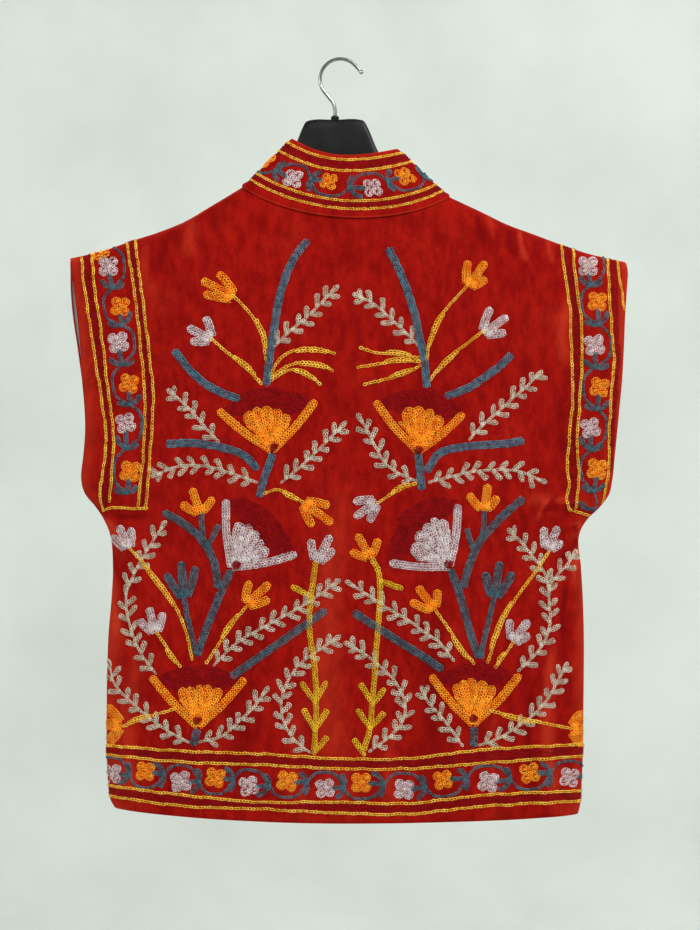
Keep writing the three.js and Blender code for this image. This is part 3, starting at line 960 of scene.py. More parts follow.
def bud(base, tips, rows=3):
    """Three petals that part from one broad base."""
    base, tips = np.array(base, float), [np.array(t, float) for t in tips]
    axis = sum(tips) / 3 - base
    axis /= np.hypot(*axis)
    across = square_to(axis)
    lean = [math.atan2((tip - base) @ across, (tip - base) @ axis) for tip in tips]
    order = np.argsort(lean)
    made = []
    for k, i in enumerate(order):
        foot = base + across * 4.0 * (k - 1) + axis * (0.4 if k == 1 else 1.6)
        made += petal(foot, tips[i], rows, 0.05 * lean[i], gap=2.85, start=0.95, notch=0.4)
    # short rows across the foot, where the petals part
    for reach in (3.2, 6.0):
        made.append(smooth([base - across * 4.4 + axis * reach, base + across * 4.4 + axis * reach]))
    return made


def polar(apex, points, where):
    """Distance from the apex of a line through points, at angles from the first point to the last."""
    away = np.array(points, float) - apex
    angle = np.unwrap(np.arctan2(away[:, 1], away[:, 0]))
    where = angle[0] + where * (angle[-1] - angle[0])
    order = np.argsort(angle)
    return where, np.interp(where, angle[order], np.hypot(*away.T)[order])


def fan(apex, wings, scallops):
    """A fan-shaped flower: two long outer petals, and between them a round-topped petal to each
    scallop. All of them part from the apex."""
    apex = np.array(apex, float)
    tips = [wings[0], *scallops, wings[1]]
    away = np.array(tips, float) - apex
    angle = np.unwrap(np.arctan2(away[:, 1], away[:, 0]))
    reach = np.hypot(*away.T)
    sense = 1 if angle[-1] > angle[0] else -1
    made = []
    for k in range(1, len(tips) - 1):
        wedge = abs(angle[k + 1] - angle[k - 1]) / 4
        rows = max(3, round(2 * reach[k] * math.tan(wedge) / 2.75))
        made += petal(apex, tips[k], rows, wedge=wedge, notch=3.0)
    for k, near, way in ((0, 1, sense), (-1, -2, -sense)):
        # the long petals bow a little outwards, and rows fill in beneath them
        foot = apex + 2.5 * away[k] / reach[k]
        made += petal(foot, tips[k], bend=-0.03 * way, gap=2.7, start=0.9)
        share = min(0.68, 0.72 * reach[near] / reach[k])
        inner = smooth([apex + 0.22 * away[k], apex + share * away[k]])
        for step, share in ((5.2, 1.0), (7.8, 0.75), (10.2, 0.45)):
            made.append(beside(inner, step * way)[: max(3, int(share * len(inner)))])
    return made


def crown(apex, under, over):
    """The dark crown behind a fan: rows that fill the space between two lines."""
    apex = np.array(apex, float)
    where = np.linspace(0, 1, 60)
    angle, low = polar(apex, under, where)
    _, high = polar(apex, over, where)
    made = []
    for k in range(int((np.max(high - low) + 5) / 2.7) + 1):
        r = low - 5.0 + k * 2.7
        keep = r < high
        line = apex + np.column_stack([np.cos(angle), np.sin(angle)]) * r[:, None]
        start = 0
        for i in range(len(keep) + 1):
            if i == len(keep) or not keep[i]:
                if i - start > 3:
                    made.append(smooth(line[start:i]))
                start = i + 1
    return made


def disc(centre, radius, step=2.5):
    """Rings one inside another."""
    made = []
    r = radius - 1.4
    while r > 0.5:
        a = np.linspace(0, 2 * math.pi * 0.9, max(6, int(2 * math.pi * r / 1.3)))
        made.append(np.array(centre) + r * np.column_stack([np.cos(a), np.sin(a)]))
        r -= step
    return made


def flower(centre, turn=0.78, size=1.0):
    """Four round petals about a centre."""
    made = disc(centre, 2.4 * size)
    for k in range(4):
        a = turn + k * math.pi / 2
        middle = np.array(centre) + 6.5 * size * np.array([math.cos(a), math.sin(a)])
        made += disc(middle, 5.3 * size)
    return made


# The back's drawing, thread by thread: what is drawn, and the points that set it out. Each thread's
# left half comes first, from the neck down.
drawing = {
    # the upper stems
    "blue": [
        ("stem3", [(308, 240), (293, 260), (282, 288), (273.5, 331), (266, 386)]),
        ("stem3", [(174, 350), (188, 368), (203, 382), (220, 392), (240, 399)]),
        ("stem3", [(166, 444), (190, 443), (220, 447), (245, 456), (258, 470)]),
        ("stem3", [(273, 453), (268, 467), (263, 482), (259, 497)]),
        ("stem3", [(388, 248), (398, 268), (407, 290), (414, 312), (419, 335), (424, 358), (427, 388)]),
        ("stem3", [(512, 354), (500, 366), (485, 377), (468, 388), (445, 397)]),
        ("stem3", [(524, 440), (510, 443), (485, 445), (462, 447), (440, 453), (426, 472)]),
        ("stem3", [(418, 453), (420, 470), (422, 490)]),
    ],
    # the sprigs
    "grey": [
        ("sprig", [(274, 347), (290, 331), (306, 318), (320, 304), (333, 291)]),
        ("sprig", [(218, 441), (205, 427), (193, 413), (182, 402), (173, 394)]),
        ("sprig", [(256, 482), (233, 474), (209, 467), (180, 466), (158, 474)]),
        ("sprig", [(282, 482), (299, 468), (315, 453), (330, 438), (341, 427)]),
        ("sprig", [(155, 673), (140, 652), (132, 632), (127, 612), (126, 592)]),
        ("sprig", [(127, 590), (138, 566), (149, 547), (162, 527)]),
        ("sprig", [(188, 742), (168, 731), (147, 716), (128, 699), (114, 683), (110, 667)]),
        ("sprig", [(200, 742), (222, 736), (238, 722), (253, 708), (264, 693)]),
        ("sprig", [(214, 665), (238, 642), (262, 628), (290, 613), (315, 598), (334, 584)]),
        ("sprig", [(309, 752), (292, 737), (282, 715), (283, 693), (297, 667), (316, 652), (334, 640)]),
        ("sprig", [(418, 345), (404, 331), (390, 318), (374, 304), (360, 297)]),
        ("sprig", [(470, 439), (484, 424), (499, 411), (513, 398), (527, 386), (537, 376)]),
        ("sprig", [(430, 482), (446, 478), (466, 473), (490, 470), (517, 471), (540, 480)]),
        ("sprig", [(416, 481), (400, 474), (385, 463), (375, 446), (367, 430), (361, 420)]),
        ("sprig", [(519, 670), (534, 656), (545, 640), (550, 622), (549, 603), (549, 588)]),
        ("sprig", [(549, 587), (543, 570), (533, 557), (523, 544), (513, 534)]),
        ("sprig", [(549, 586), (558, 574), (568, 564), (573, 556)]),
        ("sprig", [(480, 745), (497, 739), (514, 729), (532, 716), (546, 701), (556, 684), (564, 669)]),
        ("sprig", [(462, 745), (450, 728), (439, 714), (428, 702), (424, 693)]),
        ("sprig", [(453, 660), (440, 643), (424, 632), (408, 620), (392, 611), (374, 599), (352, 585)]),
        (
            "sprig",
            [
                (370, 751), (388, 738), (402, 722), (405, 703), (396, 683), (382, 668), (366, 655),
                (351, 646),
            ],
        ),
    ],
    # the thin stalks
    "yellow": [
        ("stalk", [(271, 376), (278, 362), (289, 353), (312, 348.5), (335, 354)]),
        ("stalk", [(271, 378), (285, 368), (300, 363), (318, 364), (333, 371)]),
        ("stalk", [(271, 381), (285, 372), (298, 370), (311, 376), (320, 385)]),
        ("stalk", [(266, 360), (263, 338), (254, 318), (243, 305), (233, 295)]),
        ("stalk", [(262, 384), (250, 371), (232, 356), (211, 338)]),
        ("stalk", [(264, 494), (277, 490), (291, 495), (303, 503)]),
        ("stalk", [(129, 548), (150, 571), (172, 601), (185, 630), (192, 660)]),
        ("stalk", [(156, 632), (168, 650), (180, 667)]),
        ("stalk", [(246, 606), (232, 624), (219, 643), (206, 663)]),
        ("stalk", [(176, 708), (150, 716), (122, 726)]),
        ("stalk", [(420, 358), (398, 354), (375, 352), (360, 347)]),
        ("stalk", [(420, 361), (397, 361), (376, 364), (357, 367)]),
        ("stalk", [(421, 365), (405, 373), (385, 379), (364, 384)]),
        ("stalk", [(427, 360), (430, 340), (437, 322), (450, 305), (462, 292), (469, 284)]),
        ("stalk", [(430, 381), (445, 361), (463, 347), (484, 331)]),
        ("stalk", [(416, 483), (402, 488), (389, 495), (377, 503)]),
        ("stalk", [(549, 551), (534, 573), (519, 593), (507, 612), (497, 634), (487, 663)]),
        ("stalk", [(513, 641), (505, 654), (495, 667)]),
        ("stalk", [(434, 609), (447, 627), (461, 648), (474, 664)]),
        ("stalk", [(490, 711), (515, 717), (542, 723), (571, 729)]),
    ],
    # flowers
    "orange": [
        ("bud", (233, 296), [(201, 280), (218, 272), (203, 294)]),
        (
            "fan", (272, 451), [(218, 410), (316, 400)],
            [(246, 412), (255, 407.5), (266, 405.5), (277.5, 408.5), (287.5, 414)],
        ),
        ("bud", (304, 503), [(330, 506), (333, 524), (313, 527)]),
        ("bud", (200, 513), [(192, 488), (213, 497), (181, 503)]),
        ("bud", (247, 604), [(250, 581), (270, 583), (270, 599)]),
        (
            "fan", (198, 727), [(151, 676), (245.5, 678)],
            [(181, 688), (190, 686.5), (199, 684.5), (208.7, 684.5), (220, 688)],
        ),
        ("bud", (469, 286), [(468, 260), (486, 261), (487, 278)]),
        (
            "fan", (418, 452), [(375, 401), (464, 413)],
            [(408, 407), (419, 405.7), (430.5, 409), (441, 416)],
        ),
        ("bud", (484, 510), [(468, 493), (488, 484), (498, 496)]),
        ("bud", (434, 609), [(417, 586), (410, 601), (437, 589)]),
        (
            "fan", (473, 725), [(430.5, 675), (520, 674)],
            [(455.5, 684), (462.5, 679.5), (471, 678), (483, 680.5), (493.5, 685.5)],
        ),
        ("bud", (370, 557), [(350, 551), (357, 534), (378, 538)]),
    ],
    # flowers
    "lilac": [
        ("bud", (211, 339), [(187, 327), (205, 316), (190, 341)]),
        (
            "fan", (231, 568), [(226, 499), (297, 554)],
            [(240, 522), (250, 524.5), (257.5, 531), (263, 540.5), (269, 549.5)],
        ),
        ("bud", (128, 548), [(112, 535), (119, 525), (131, 527)]),
        ("bud", (155, 632), [(139, 619), (149, 607), (163, 612)]),
        ("bud", (317, 561), [(311, 539), (331, 535), (334, 549)]),
        ("bud", (484, 333), [(491, 307), (508, 316), (506, 332)]),
        ("bud", (376, 502), [(353, 502), (354, 518), (368, 522)]),
        (
            "fan", (450, 567), [(458, 504), (389, 563)],
            [(442, 519), (433.5, 517.5), (425.3, 523.5), (416.6, 532), (411, 546)],
        ),
        ("bud", (548, 549), [(544, 527), (558, 526), (562, 541)]),
        ("bud", (513, 641), [(510, 619), (529, 620), (530, 634)]),
    ],
    # the crown and heart of each fan
    "maroon": [
        (
            "crown", (272, 451),
            [(226, 411), (243, 411), (258, 404), (274, 404), (292, 410), (311, 401)],
            [(231, 402), (246, 392), (268, 388), (290, 391), (306, 399)],
        ),
        ("dot", (273.7, 446.7), 4.4),
        (
            "crown", (231, 568),
            [(229, 503), (243, 519), (256, 527), (266, 540), (274, 551), (291, 555)],
            [(233, 500), (245, 499), (257, 502), (268, 510), (278, 520), (287, 534), (293, 550)],
        ),
        ("dot", (236.5, 565), 4.8),
        (
            "crown", (198, 727), [(157, 677), (176, 688), (197, 683), (219, 687), (241, 680)],
            [(164, 674.5), (176, 667), (190, 664.5), (204, 664), (219, 667), (232, 677)],
        ),
        ("dot", (197.5, 720.2), 4.6),
        (
            "crown", (418, 452),
            [(381, 403), (397, 408), (411, 405), (425, 405), (439, 414), (459, 414)],
            [(388, 397), (402, 391), (420, 388.5), (441, 394), (458, 407)],
        ),
        ("dot", (418.4, 450), 4.8),
        (
            "crown", (450, 567),
            [(455, 507), (440, 517), (428, 520), (418, 530), (411, 543), (396, 561)],
            [(453, 501), (440, 498), (428, 499), (414, 504), (402, 515), (395, 530), (391, 556)],
        ),
        ("dot", (448.3, 564), 4.6),
        (
            "crown", (473, 725), [(437, 677), (454, 684), (471, 678), (490, 682), (514, 677)],
            [(444, 674), (452, 668), (466, 665), (480, 662), (496, 666), (511, 674)],
        ),
        ("dot", (473.4, 718.2), 4.6),
    ],
    # the lower stems, and a bud on each side
    "slate": [
        ("stem3", [(231, 570), (222, 590), (213, 612), (204, 635), (197, 656)]),
        ("stem3", [(163, 512), (184, 524), (202, 540), (214, 562), (218, 588)]),
        ("stem2", [(219, 525), (213, 536), (208, 548)]),
        ("stem2", [(201, 514), (202, 526), (203, 540)]),
        ("bud", (184, 597), [(166, 573), (181, 561), (196, 566)]),
        ("stem2", [(184, 597), (188, 620), (193, 640), (196, 654)]),
        ("stem3", [(197, 729), (195, 738), (192, 746)]),
        ("stem3", [(231, 677), (262, 655), (295, 632), (326, 610)]),
        ("stem3", [(450, 569), (457, 586), (463, 606), (470, 632), (479, 658)]),
        ("stem3", [(524, 498), (508, 511), (494, 525), (481, 540), (471, 560), (463, 588)]),
        ("stem2", [(467, 529), (470, 540), (474, 551)]),
        ("stem2", [(484, 511), (484, 524), (482, 537)]),
        ("bud", (494, 597), [(485, 572), (500, 561), (513, 572)]),
        ("stem2", [(494, 597), (489, 620), (484, 640), (481, 658)]),
        ("stem3", [(474, 727), (474, 737), (473, 747)]),
        ("stem3", [(353, 612), (378, 628), (403, 644), (424, 657), (443, 670)]),
    ],
    # the pair of stems at the middle
    "gold": [
        (
            "stem2",
            [
                (316, 562), (313, 582), (310, 605), (310, 635), (314, 660), (316, 690), (316, 720),
                (314, 750),
            ],
        ),
        ("petal", (312, 597), (291, 586)),
        ("petal", (315, 702), (301, 682)),
        ("petal", (315, 702), (327, 681)),
        ("petal", (315, 730), (303, 708)),
        ("petal", (315, 730), (328, 709)),
        ("petal", (314, 753), (328, 736)),
        (
            "stem2",
            [
                (371, 557), (378, 570), (380, 590), (379, 615), (377, 640), (375, 672), (372, 705),
                (370, 728), (364, 750),
            ],
        ),
        ("petal", (381, 581), (403, 589)),
        ("petal", (373, 704), (360, 683)),
        ("petal", (373, 704), (385, 688)),
        ("petal", (370, 728), (357, 709)),
        ("petal", (370, 728), (385, 712)),
        ("petal", (364, 754), (353, 738)),
    ],
}
# how each is drawn, the size of its stitches and how high they lie
kinds = {
    "stalk": (stalk, 0.95, 0.4),
    "stem2": (lambda p: stem(p, 2), 0.9, 0.4),
    "stem3": (lambda p: stem(p, 3, 2.6), 0.88, 0.4),
    "sprig": (sprig, 0.84, 0.2),
    "bud": (bud, 0.9, 0.5),
    "fan": (fan, 0.9, 0.5),
    "crown": (crown, 1.0, 0.0),
    "dot": (lambda centre, radius: disc(centre, radius, 1.0), 0.95, 2.0),
    "petal": (lambda base, tip: petal(base, tip, rows=2, gap=3.0), 0.92, 0.4),
}
for thread, figures in drawing.items():
    for kind, *layout in figures:
        draw, size, lift = kinds[kind]
        sew("back", thread, draw(*layout), size, lift)


# ---- Needlework: the borders ----
# Every border is the same band: two pairs of yellow lines, each pair filled with a maroon strip, and
# between them a blue vine that winds round lilac and orange flowers in turn.
def in_step(first, second, count=0):
    """Two lines with equal numbers of points: count, or as many as the longer one needs."""
    lines = [smooth(first), smooth(second)]
    t = np.linspace(0, 1, count or max(len(line) for line in lines))
    return (read(line, np.linspace(0, 1, len(line)), t) for line in lines)


def fill(first, second, rows):
    """Rows between two lines, a little wavy."""
    a, b = in_step(first, second)
    at = lengths(a)[:, None]
    return [
        a + (b - a) * ((k + 1) / (rows + 1) + 0.06 * np.sin(at / 4.5 + k) * np.sin(at / 17))
        for k in range(rows)
    ]


def uneven(line):
    """A line as a hand guides it, a fraction of a stitch to either side."""
    at = lengths(line) + 3 * line[0, 0]
    return beside(line, 0.4 * np.sin(at / 11) * np.sin(at / 4.3) + 0.2 * np.sin(at / 5.1))


def vine(middle, places, lean, growth=1, size=1.0):
    """A vine along a middle line, and flowers at these places, lilac first. The first flower leans to
    the side of lean, the next to the other, and the vine swings round the far side of each. Where
    growth is 1, a flower's stalk is beyond it along the line."""
    line = smooth(middle)
    at = lengths(line)
    pitch = float(np.mean(np.diff(places)))

    def spot(s, t):
        i = int(np.clip(np.searchsorted(at, s), 1, len(at) - 1))
        run = line[i] - line[i - 1]
        run = run / np.hypot(*run)
        return line[i - 1] + run * (s - at[i - 1]) + square_to(run) * t * size

    made = {"slate": [], "leaf": [], "lilac": [], "orange": []}
    # the vine forks a little past halfway to the next flower
    ahead = [places[0] - pitch, *places, places[-1] + pitch][1 + growth :]
    nodes = [a + growth * 0.53 * abs(b - a) for a, b in zip(places, ahead)]
    for k, s in enumerate(places):
        side = lean * (-1) ** k
        turn, wide = 0.78 + 0.22 * math.sin(2.7 * k), size * (1 + 0.04 * math.sin(4 * k))
        made["orange" if k % 2 else "lilac"] += flower(spot(s, 3.2 * side), turn, wide)
        node = nodes[k] - s
        last = nodes[k - growth] - s if 0 <= k - growth < len(nodes) else -0.47 * pitch * growth
        way = [(last, -2.5), (0.55 * last, -11.5), (0.1 * node, -13)]
        way += [(0.55 * node, -10.5), (0.8 * node, -4.5), (node, 2.5)]
        made["slate"].append(smooth([spot(s + d, t * side) for d, t in way]))
        heart = spot(s + node, 2.0 * side)
        for d, t, bend in ((-10, 11, -0.14), (-4, -12.5, 0.14)):
            t += math.sin(5 * k + t)
            tip = spot(s + node + d * growth * (1 + 0.3 * math.sin(2 * k)), (2 + t) * side)
            made["leaf"] += petal(heart, tip, rows=2, bend=bend * side * growth, gap=2.5)
        stalk_end = spot(s + 7 * size * growth, 3.2 * side)
        made["leaf"] += petal(heart, stalk_end, rows=2, gap=2.3, start=0.9)
    return made


def middle_of(lines):
    """The middle line of a border, from its second and third yellow lines."""
    a, b = in_step(lines[1], lines[2], 60)
    return (a + b) / 2


def sew_vine(panel, made):
    """The lines of a vine, each kind in its own size of stitch."""
    for kind, lines in made.items():
        size = {"slate": 0.92, "leaf": 0.84}.get(kind, 0.76)
        sew(panel, "slate" if kind == "leaf" else kind, lines, size)


def sew_border(panel, lines, flowers, axis, lean, growth=1, rows=3):
    """lines are the four yellow lines in turn, all in one direction; flowers are places on an axis."""
    for line in lines:
        sew(panel, "yellow", [uneven(smooth(line))], 0.9)
    sew(panel, "maroon", fill(lines[0], lines[1], rows) + fill(lines[2], lines[3], rows), 0.95, 0)
    middle = middle_of(lines)
    order = np.argsort(middle[:, axis])
    places = np.interp(flowers, middle[order, axis], lengths(middle)[order])
    sew_vine(panel, vine(middle, places, lean, growth))


hem_x = [100, 183, 260, 340, 407, 480, 590]
hem_lines = [
    list(zip(hem_x, hem_y))
    for hem_y in (
        [745, 751, 754, 758.6, 758.6, 750, 744],
        [754, 762, 764.6, 768.7, 768.7, 763.3, 755.5],
        [784.5, 795, 802, 802, 803.5, 795.5, 790.5],
        [794.5, 806, 809, 813, 814, 806.5, 800.5],
    )
]
hem_flowers = [112, 145, 181, 215, 249, 287, 325, 361, 404, 443, 488, 530, 569]
sew_border("back", hem_lines, hem_flowers, 0, 1)

left_lines = [
    [
        (81.5, 258), (84.5, 286), (90.6, 327), (95.7, 362), (100.8, 393), (105.9, 432), (105.4, 455),
        (100.2, 495), (103.6, 509.7),
    ],
    [
        (91.6, 254), (95.7, 296), (100.8, 327), (104.9, 362), (108.5, 393), (113.4, 432), (112.8, 460),
        (109.4, 500.6),
    ],
    [
        (127, 243), (131.4, 271), (136, 303), (139.6, 337), (142.7, 368), (144.7, 393), (145, 414),
        (143.2, 455), (138, 504),
    ],
    [
        (135, 240), (141.6, 291), (146.7, 332), (150.8, 368), (153.4, 393), (153, 409), (149.6, 460),
        (146, 508),
    ],
]
left_flowers = [266, 307, 342, 384, 423, 471]
right_lines = [
    [
        (561, 244), (564.5, 271), (569.6, 306), (571, 342), (572.7, 393), (569, 441), (567.4, 467),
        (569, 487), (566.4, 500), (570, 509.6),
    ],
    [
        (573.2, 248), (575.7, 281), (580.8, 316.5), (581.8, 362), (578.2, 421), (577, 446),
        (579.2, 477), (575.6, 506.5),
    ],
    [
        (607.5, 258), (609.4, 296), (611.4, 327), (614, 362), (612.3, 380), (608.8, 441), (608.8, 467),
        (602.7, 502),
    ],
    [(617.3, 260), (620.6, 286), (624.2, 309)],
]
right_flowers = [266, 302, 345, 387, 428, 469]
sew_border("back", left_lines, left_flowers, 1, 1)
sew("back", "yellow", [smooth([(103.6, 509.7), (112, 507.6), (134.6, 508.6), (146, 508)])], 0.9)
for line in right_lines:
    sew("back", "yellow", [uneven(smooth(line))], 0.9)
sew("back", "yellow", [smooth([(570, 509.6), (579, 512.5), (588.4, 515.2)])], 0.9)
# the outer line runs off over the edge of the armhole, and the strip within it goes on down
outside = [(617.5, 258), (619.6, 296), (619.5, 327), (621.5, 362)]
outside += [(619.5, 380), (615, 441), (612.5, 467)]
strips = fill(right_lines[0], right_lines[1], 3) + fill(right_lines[2][:-1], outside, 3)
sew("back", "maroon", strips, 0.95, 0)
middle = middle_of(right_lines)
places = np.interp(right_flowers, middle[:, 1], lengths(middle))
sew_vine("back", vine(middle, places, 1))
vine_end = [smooth([(592, 490), (596, 498), (596.5, 504), (594, 510)])]
last_leaf = petal((593.5, 509.5), (578.5, 501.5), rows=2, bend=-0.12, gap=2.5)
sew("back", "slate", vine_end + last_leaf, 0.88)
# A flower lies over each side seam, and one over the left shoulder.
sew("back", "orange", bud((121, 725), [(105, 706), (99, 724), (106, 744)], 4), 0.9)
sew("back", "orange", bud((571, 729), [(584, 712), (592, 729), (585, 745)], 4), 0.9)
sew("back", "orange", flower((100, 250.5), 0.42, 0.94), 0.76, 0.6)

# The hidden fronts carry the same borders along their hems and armholes: the right one is drawn as
# the left one's mirror image.
mirror_sum, front_edge = 691, 344
front_hem = [[*line[:4], (front_edge, line[3][1])] for line in hem_lines]
for side, name in ((-1, "left"), (1, "right")):
    mirrored = (lambda x: x) if side < 0 else (lambda x: mirror_sum - x)
    hem, arm = (
        [[(mirrored(x), y) for x, y in line] for line in lines] for lines in (front_hem, left_lines)
    )
    if side > 0:
        hem = [line[::-1] for line in hem]
    flowers = sorted(mirrored(x) for x in hem_flowers[:7])
    sew_border(name, hem, flowers, 0, 1, 1, 2)
    sew_border(name, arm, left_flowers, 1, -side, 1, 2)
    foot = [(mirrored(x), y) for x, y in ((103.6, 509.7), (112, 507.6), (146, 508))]
    sew(name, "yellow", [smooth(foot)])
    wrapped = bud((90, 725), [(106, 706), (112, 724), (105, 744)], 4)
    sew(name, "orange", [np.column_stack([mirrored(v[:, 0]), v[:, 1]]) for v in wrapped], 0.9)

# On the collar the same band runs all round, from one front edge to the other. Its flowers are
# placed by their angle round the neck at the back, and evenly on the fronts.
first, last = collar_along[0] + 3, collar_along[-1] - 3


def round_collar(h):
    """A line round the collar, a little higher towards the wearer's left."""
    s = np.arange(first, last, 1.5)
    return np.column_stack([s, h + 0.035 * np.clip(-s / 55, 0, 1) * (1 - h)])


# the yellow lines, as parts of the collar's height, with a maroon strip in each pair
line_heights = (0.924, 0.737, 0.229, 0.093)
for h in line_heights:
    sew("collar", "yellow", [round_collar(h)], 0.84)
for high, low in (line_heights[:2], line_heights[2:]):
    sew("collar", "maroon", [round_collar(low + (high - low) * (k + 1) / 4) for k in range(3)], 0.95, 0)
seen = np.interp(np.radians([-84, -38.6, -12.3, 19, 49]), angles, collar_along)
pitch, end_room = 36, 12
before = np.arange(seen[0] - pitch, first + end_room, -pitch)[::-1]
after = np.arange(seen[-1] + pitch, last - end_room, pitch)
places = np.concatenate([before, seen, after])
# the second of those seen is lilac, and the flowers grow towards the wearer's left
lilac_first = (len(before) + 1) % 2 == 0
made = vine([(0, 0), (last - first, 0)], places - first, -1 if lilac_first else 1, -1, 0.88)
if not lilac_first:
    made["lilac"], made["orange"] = made["orange"], made["lilac"]
# the band's middle is at this part of the collar's height, which is 60 squares
band_middle, collar_squares = 0.483, 60
for kind, lines in made.items():
    made[kind] = [
        np.column_stack([line[:, 0] + first, band_middle + line[:, 1] / collar_squares]) for line in lines
    ]
sew_vine("collar", made)

# ---- Needlework: threads ----
# The loops themselves. Every stitch is one loop of soft thread, a little narrower where it comes up
# through the loop before it, and no two are pulled quite alike.
tree = bpy.data.node_groups.new("chain_stitch", "GeometryNodeTree")
sockets = tree.interface
for name, kind in (
    ("Geometry", "Geometry"),
    ("Pitch", "Float"),
    ("Width", "Float"),
    ("Thread", "Float"),
    ("Seed", "Int"),
    ("Corners", "Int"),
    ("Material", "Material"),
):
    sockets.new_socket(name, in_out="INPUT", socket_type=f"NodeSocket{kind}")
sockets.new_socket("Geometry", in_out="OUTPUT", socket_type="NodeSocketGeometry")
identifier = {s.name: s.identifier for s in sockets.items_tree if s.in_out == "INPUT"}
entry = tree.nodes.new("NodeGroupInput")
given = {s.name: Finish(tree, s) for s in entry.outputs if s.name}
term = Finish(tree)
pitch, width, thick = given["Pitch"], given["Width"], given["Thread"]


def circle(corners, radius):
    sizes = {"Resolution": corners, "Radius": radius}
    return term.node("GeometryNodeCurvePrimitiveCircle", {"mode": "RADIUS"}, sizes)


def chance(low, high, number=0):
    """A random value or direction for each stitch. number sets it apart from the others."""
    kind, first, output = ("FLOAT", 2, 1) if isinstance(low, float) else ("FLOAT_VECTOR", 0, 0)
    seed = given["Seed"] + number if number else given["Seed"]
    bounds = {first: low, first + 1: high, "Seed": seed}
    return term.node("FunctionNodeRandomValue", {"data_type": kind}, bounds, output)


# the loop, drawn out from a circle
ring = circle(given["Corners"], 1.0)
place = term.node("GeometryNodeInputPosition")
apart = term.node("ShaderNodeSeparateXYZ", None, {0: place})
x, y = apart, Finish(tree, apart.socket.node.outputs[1])
drawn = term.node(
    "ShaderNodeCombineXYZ",
    None,
    {
        0: pitch * 0.6 * x,
        1: (width - thick) * 0.5 * y * (0.88 + 0.26 * x),
        2: thick * (0.3 + 0.32 * x),
    },
)
loop = term.node("GeometryNodeSetPosition", None, {"Geometry": ring, "Position": drawn})
sweep = {"Curve": loop, "Profile Curve": circle(3, thick * 0.57)}
loop = term.node("GeometryNodeCurveToMesh", None, sweep)
loop = term.node("GeometryNodeSetShadeSmooth", None, {"Geometry": loop, "Shade Smooth": True})
# one loop for each stitch along the sewn lines
path = term.node("GeometryNodeMeshToCurve", None, {"Mesh": given["Geometry"]})
small = term.node("GeometryNodeInputNamedAttribute", {"data_type": "FLOAT"}, {"Name": "size"})
path = term.node("GeometryNodeResampleCurve", {"mode": "LENGTH"}, {"Curve": path, "Length": pitch * small})
way = term.node("GeometryNodeInputTangent")
pulled = chance((-0.22, -0.22, -0.22), (0.22, 0.22, 0.22))
way = term.node("ShaderNodeVectorMath", {"operation": "ADD"}, {0: way, 1: pulled})
up = term.node("GeometryNodeInputNamedAttribute", {"data_type": "FLOAT_VECTOR"}, {"Name": "cloth_normal"})
shift = term.node("ShaderNodeVectorMath", {"operation": "SCALE"}, {0: pulled, "Scale": thick})
path = term.node("GeometryNodeSetPosition", None, {"Geometry": path, "Offset": shift})
turn = term.node(
    "FunctionNodeAxesToRotation",
    {"primary_axis": "X", "secondary_axis": "Z"},
    {"Primary Axis": way, "Secondary Axis": up},
)
size = chance(0.86, 1.12, 1)
stitches = term.node(
    "GeometryNodeInstanceOnPoints",
    None,
    {"Points": path, "Instance": loop, "Rotation": turn, "Scale": size * small},
)
tone = chance(0.0, 1.0, 2)
stitches = term.node(
    "GeometryNodeStoreNamedAttribute",
    {"data_type": "FLOAT", "domain": "INSTANCE"},
    {"Geometry": stitches, "Name": "tone", "Value": tone},
)
stitches = term.node("GeometryNodeRealizeInstances", None, {"Geometry": stitches})
stitches = term.node("GeometryNodeSetMaterial", None, {"Geometry": stitches, "Material": given["Material"]})
leave = tree.nodes.new("NodeGroupOutput")
tree.links.new(stitches.socket, leave.inputs[0])

# the darkest and lightest of each thread, and its sheen
thread_colours = {
    "yellow": ((216, 148, 18), (255, 212, 84), 0.03),
    "gold": ((196, 148, 14), (242, 200, 48), 0.05),
    "orange": ((252, 122, 8), (255, 180, 46), 0.03),
    "lilac": ((176, 156, 158), (242, 231, 231), 0.05),
    "grey": ((160, 151, 127), (224, 216, 195), 0.05),
    "blue": ((26, 78, 97), (82, 137, 155), 0.03),
    "slate": ((32, 65, 75), (80, 116, 129), 0.03),
    "maroon": ((112, 0, 8), (142, 4, 14), 0.0),
}
threads = {}
for name, (dark, light, sheen) in thread_colours.items():
    made, shader, term = finish(
        f"{name}_thread", {"Specular IOR Level": 0.1, "Sheen Weight": sheen, "Sheen Roughness": 0.5}
    )
    tone = term.node("ShaderNodeAttribute", {"attribute_name": "tone"}, None, 2)
    fibre = term.noise(2600, 2, 0.6)
    faded = term.noise(22, 3, 0.6)
    shade = (tone * 0.55 + fibre * 0.3 + faded * 0.3).between(0.2, 0.95)
    feed(
        shader,
        {
            "Base Color": shade.blend(colour(*dark), colour(*light)),
            "Roughness": 0.6 + 0.15 * fibre,
            "Normal": term.bump(fibre, 0.25, 0.0003),
        },
    )
    threads[name] = made

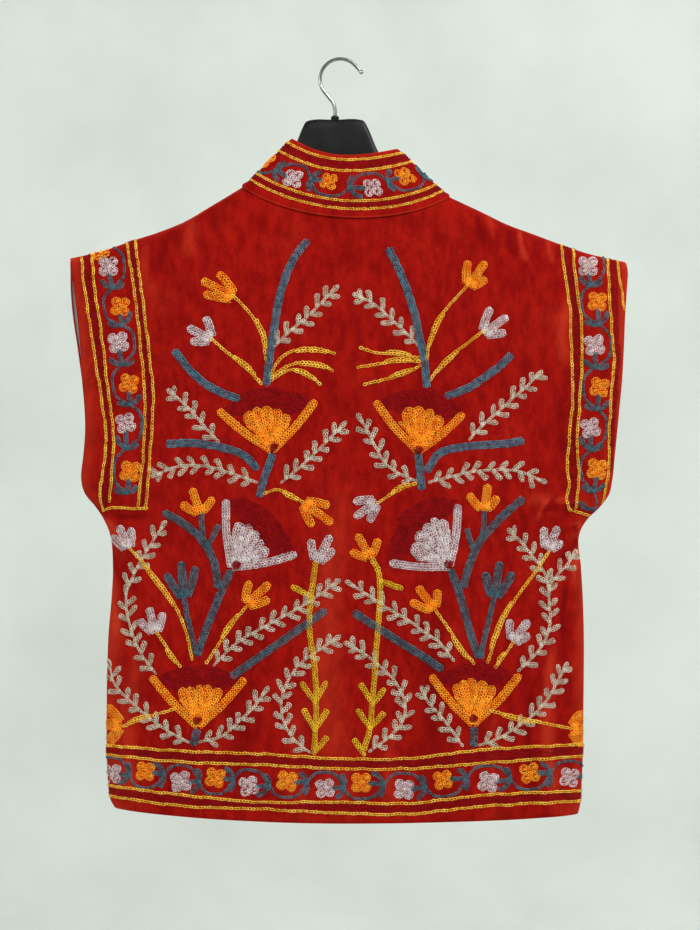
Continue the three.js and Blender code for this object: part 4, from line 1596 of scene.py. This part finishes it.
needlework = {}
for number, ((panel, thread), runs) in enumerate(sorted(sewn.items())):
    points, edges, normals, sizes = [], [], [], []
    for size, run in runs:
        start = len(points)
        sizes += [size] * len(run)
        points += [spot for spot, _ in run]
        normals += [tuple(normal) for _, normal in run]
        edges += [(start + k, start + k + 1) for k in range(len(run) - 1)]
    mesh = bpy.data.meshes.new("sewn_lines")
    mesh.from_pydata(points, edges, [])
    held = mesh.attributes.new("cloth_normal", "FLOAT_VECTOR", "POINT")
    held.data.foreach_set("vector", np.array(normals).ravel())
    mesh.attributes.new("size", "FLOAT", "POINT").data.foreach_set("value", sizes)
    lines = bpy.data.objects.new("sewn_lines", mesh)
    bpy.context.scene.collection.objects.link(lines)
    step = lines.modifiers.new("stitches", "NODES")
    step.node_group = tree
    for name, value in {
        "Pitch": 0.0036,
        "Width": 0.0038,
        # the stems and vines are of a fuller thread that hides the velvet
        "Thread": 0.00103 if thread in ("blue", "slate") else 0.0009,
        "Seed": number * 7 + 1,
        # the single yellow lines show the form of each loop, so it is rounder there
        "Corners": 6 if thread == "yellow" else 5,
        "Material": threads[thread],
    }.items():
        step[identifier[name]] = value
    seen = lines.evaluated_get(bpy.context.evaluated_depsgraph_get())
    plain = bpy.data.meshes.new_from_object(seen)
    bpy.data.objects.remove(lines)
    place = f"front_{panel}" if panel in ("left", "right") else panel
    piece = bpy.data.objects.new(f"{place}_{thread}_stitches", plain)
    plain.name = piece.name
    bpy.context.scene.collection.objects.link(piece)
    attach(piece, "root")
    needlework.setdefault(panel, []).append(piece)

# ---- Stage ----
# A pale floor that sweeps up into a round backdrop, and soft light from the upper right.
# radius and height of its outline, in metres
sweep = [(0.02, -2.0), (3.6, -2.0), (4.3, -1.9), (4.75, -1.6), (5.0, -1.0), (5.05, 0), (5.05, 4.0)]
count, n = 96, len(sweep)
points = [(r * math.cos(a), r * math.sin(a), z) for a in turns(count) for r, z in sweep]
faces = [
    (i * n + j, (i + 1) % count * n + j, (i + 1) % count * n + j + 1, i * n + j + 1)
    for i in range(count)
    for j in range(n - 1)
]
mesh = bpy.data.meshes.new("backdrop")
mesh.from_pydata(points, [], faces + [tuple(i * n for i in range(count))[::-1]])
mesh.polygons.foreach_set("use_smooth", [True] * len(mesh.polygons))
paint, shader, term = finish("pale_backdrop", {"Roughness": 0.9, "Specular IOR Level": 0.1})
patchy = term.noise(1.2, 4, 0.6)
feed(
    shader,
    {"Base Color": patchy.between(0.3, 0.7).blend(colour(213, 217, 212), colour(226, 231, 225))},
)
mesh.materials.append(paint)
backdrop = bpy.data.objects.new("backdrop", mesh)
bpy.context.scene.collection.objects.link(backdrop)

world = bpy.data.worlds.new("room")
world.use_nodes = True
background = world.node_tree.nodes["Background"]
background.inputs["Color"].default_value = (0.97, 0.985, 1.0, 1)
background.inputs["Strength"].default_value = 0.4
bpy.context.scene.world = world
jacket_middle, backdrop_middle = Vector((0, 0, -0.45)), Vector((0.3, 5, -0.5))
# name, place, what it is aimed at, width in metres and watts
for name, spot, aim, size, power in (
    ("window", (1.5, -2.1, 1.5), jacket_middle, 1.3, 112),
    ("fill", (-2.2, -2.0, 0.2), jacket_middle, 1.6, 38),
    ("behind", (-0.6, 2.6, 1.2), jacket_middle, 2.4, 45),
    ("backdrop_light", (1.8, 1.6, 2.4), backdrop_middle, 2.4, 62),
):
    light = bpy.data.lights.new(name, "AREA")
    light.size, light.energy = size, power
    lamp = bpy.data.objects.new(name, light)
    lamp.location = spot
    lamp.rotation_euler = (aim - Vector(spot)).to_track_quat("-Z", "Y").to_euler()
    bpy.context.scene.collection.objects.link(lamp)
bpy.context.scene.view_settings.view_transform = "Standard"
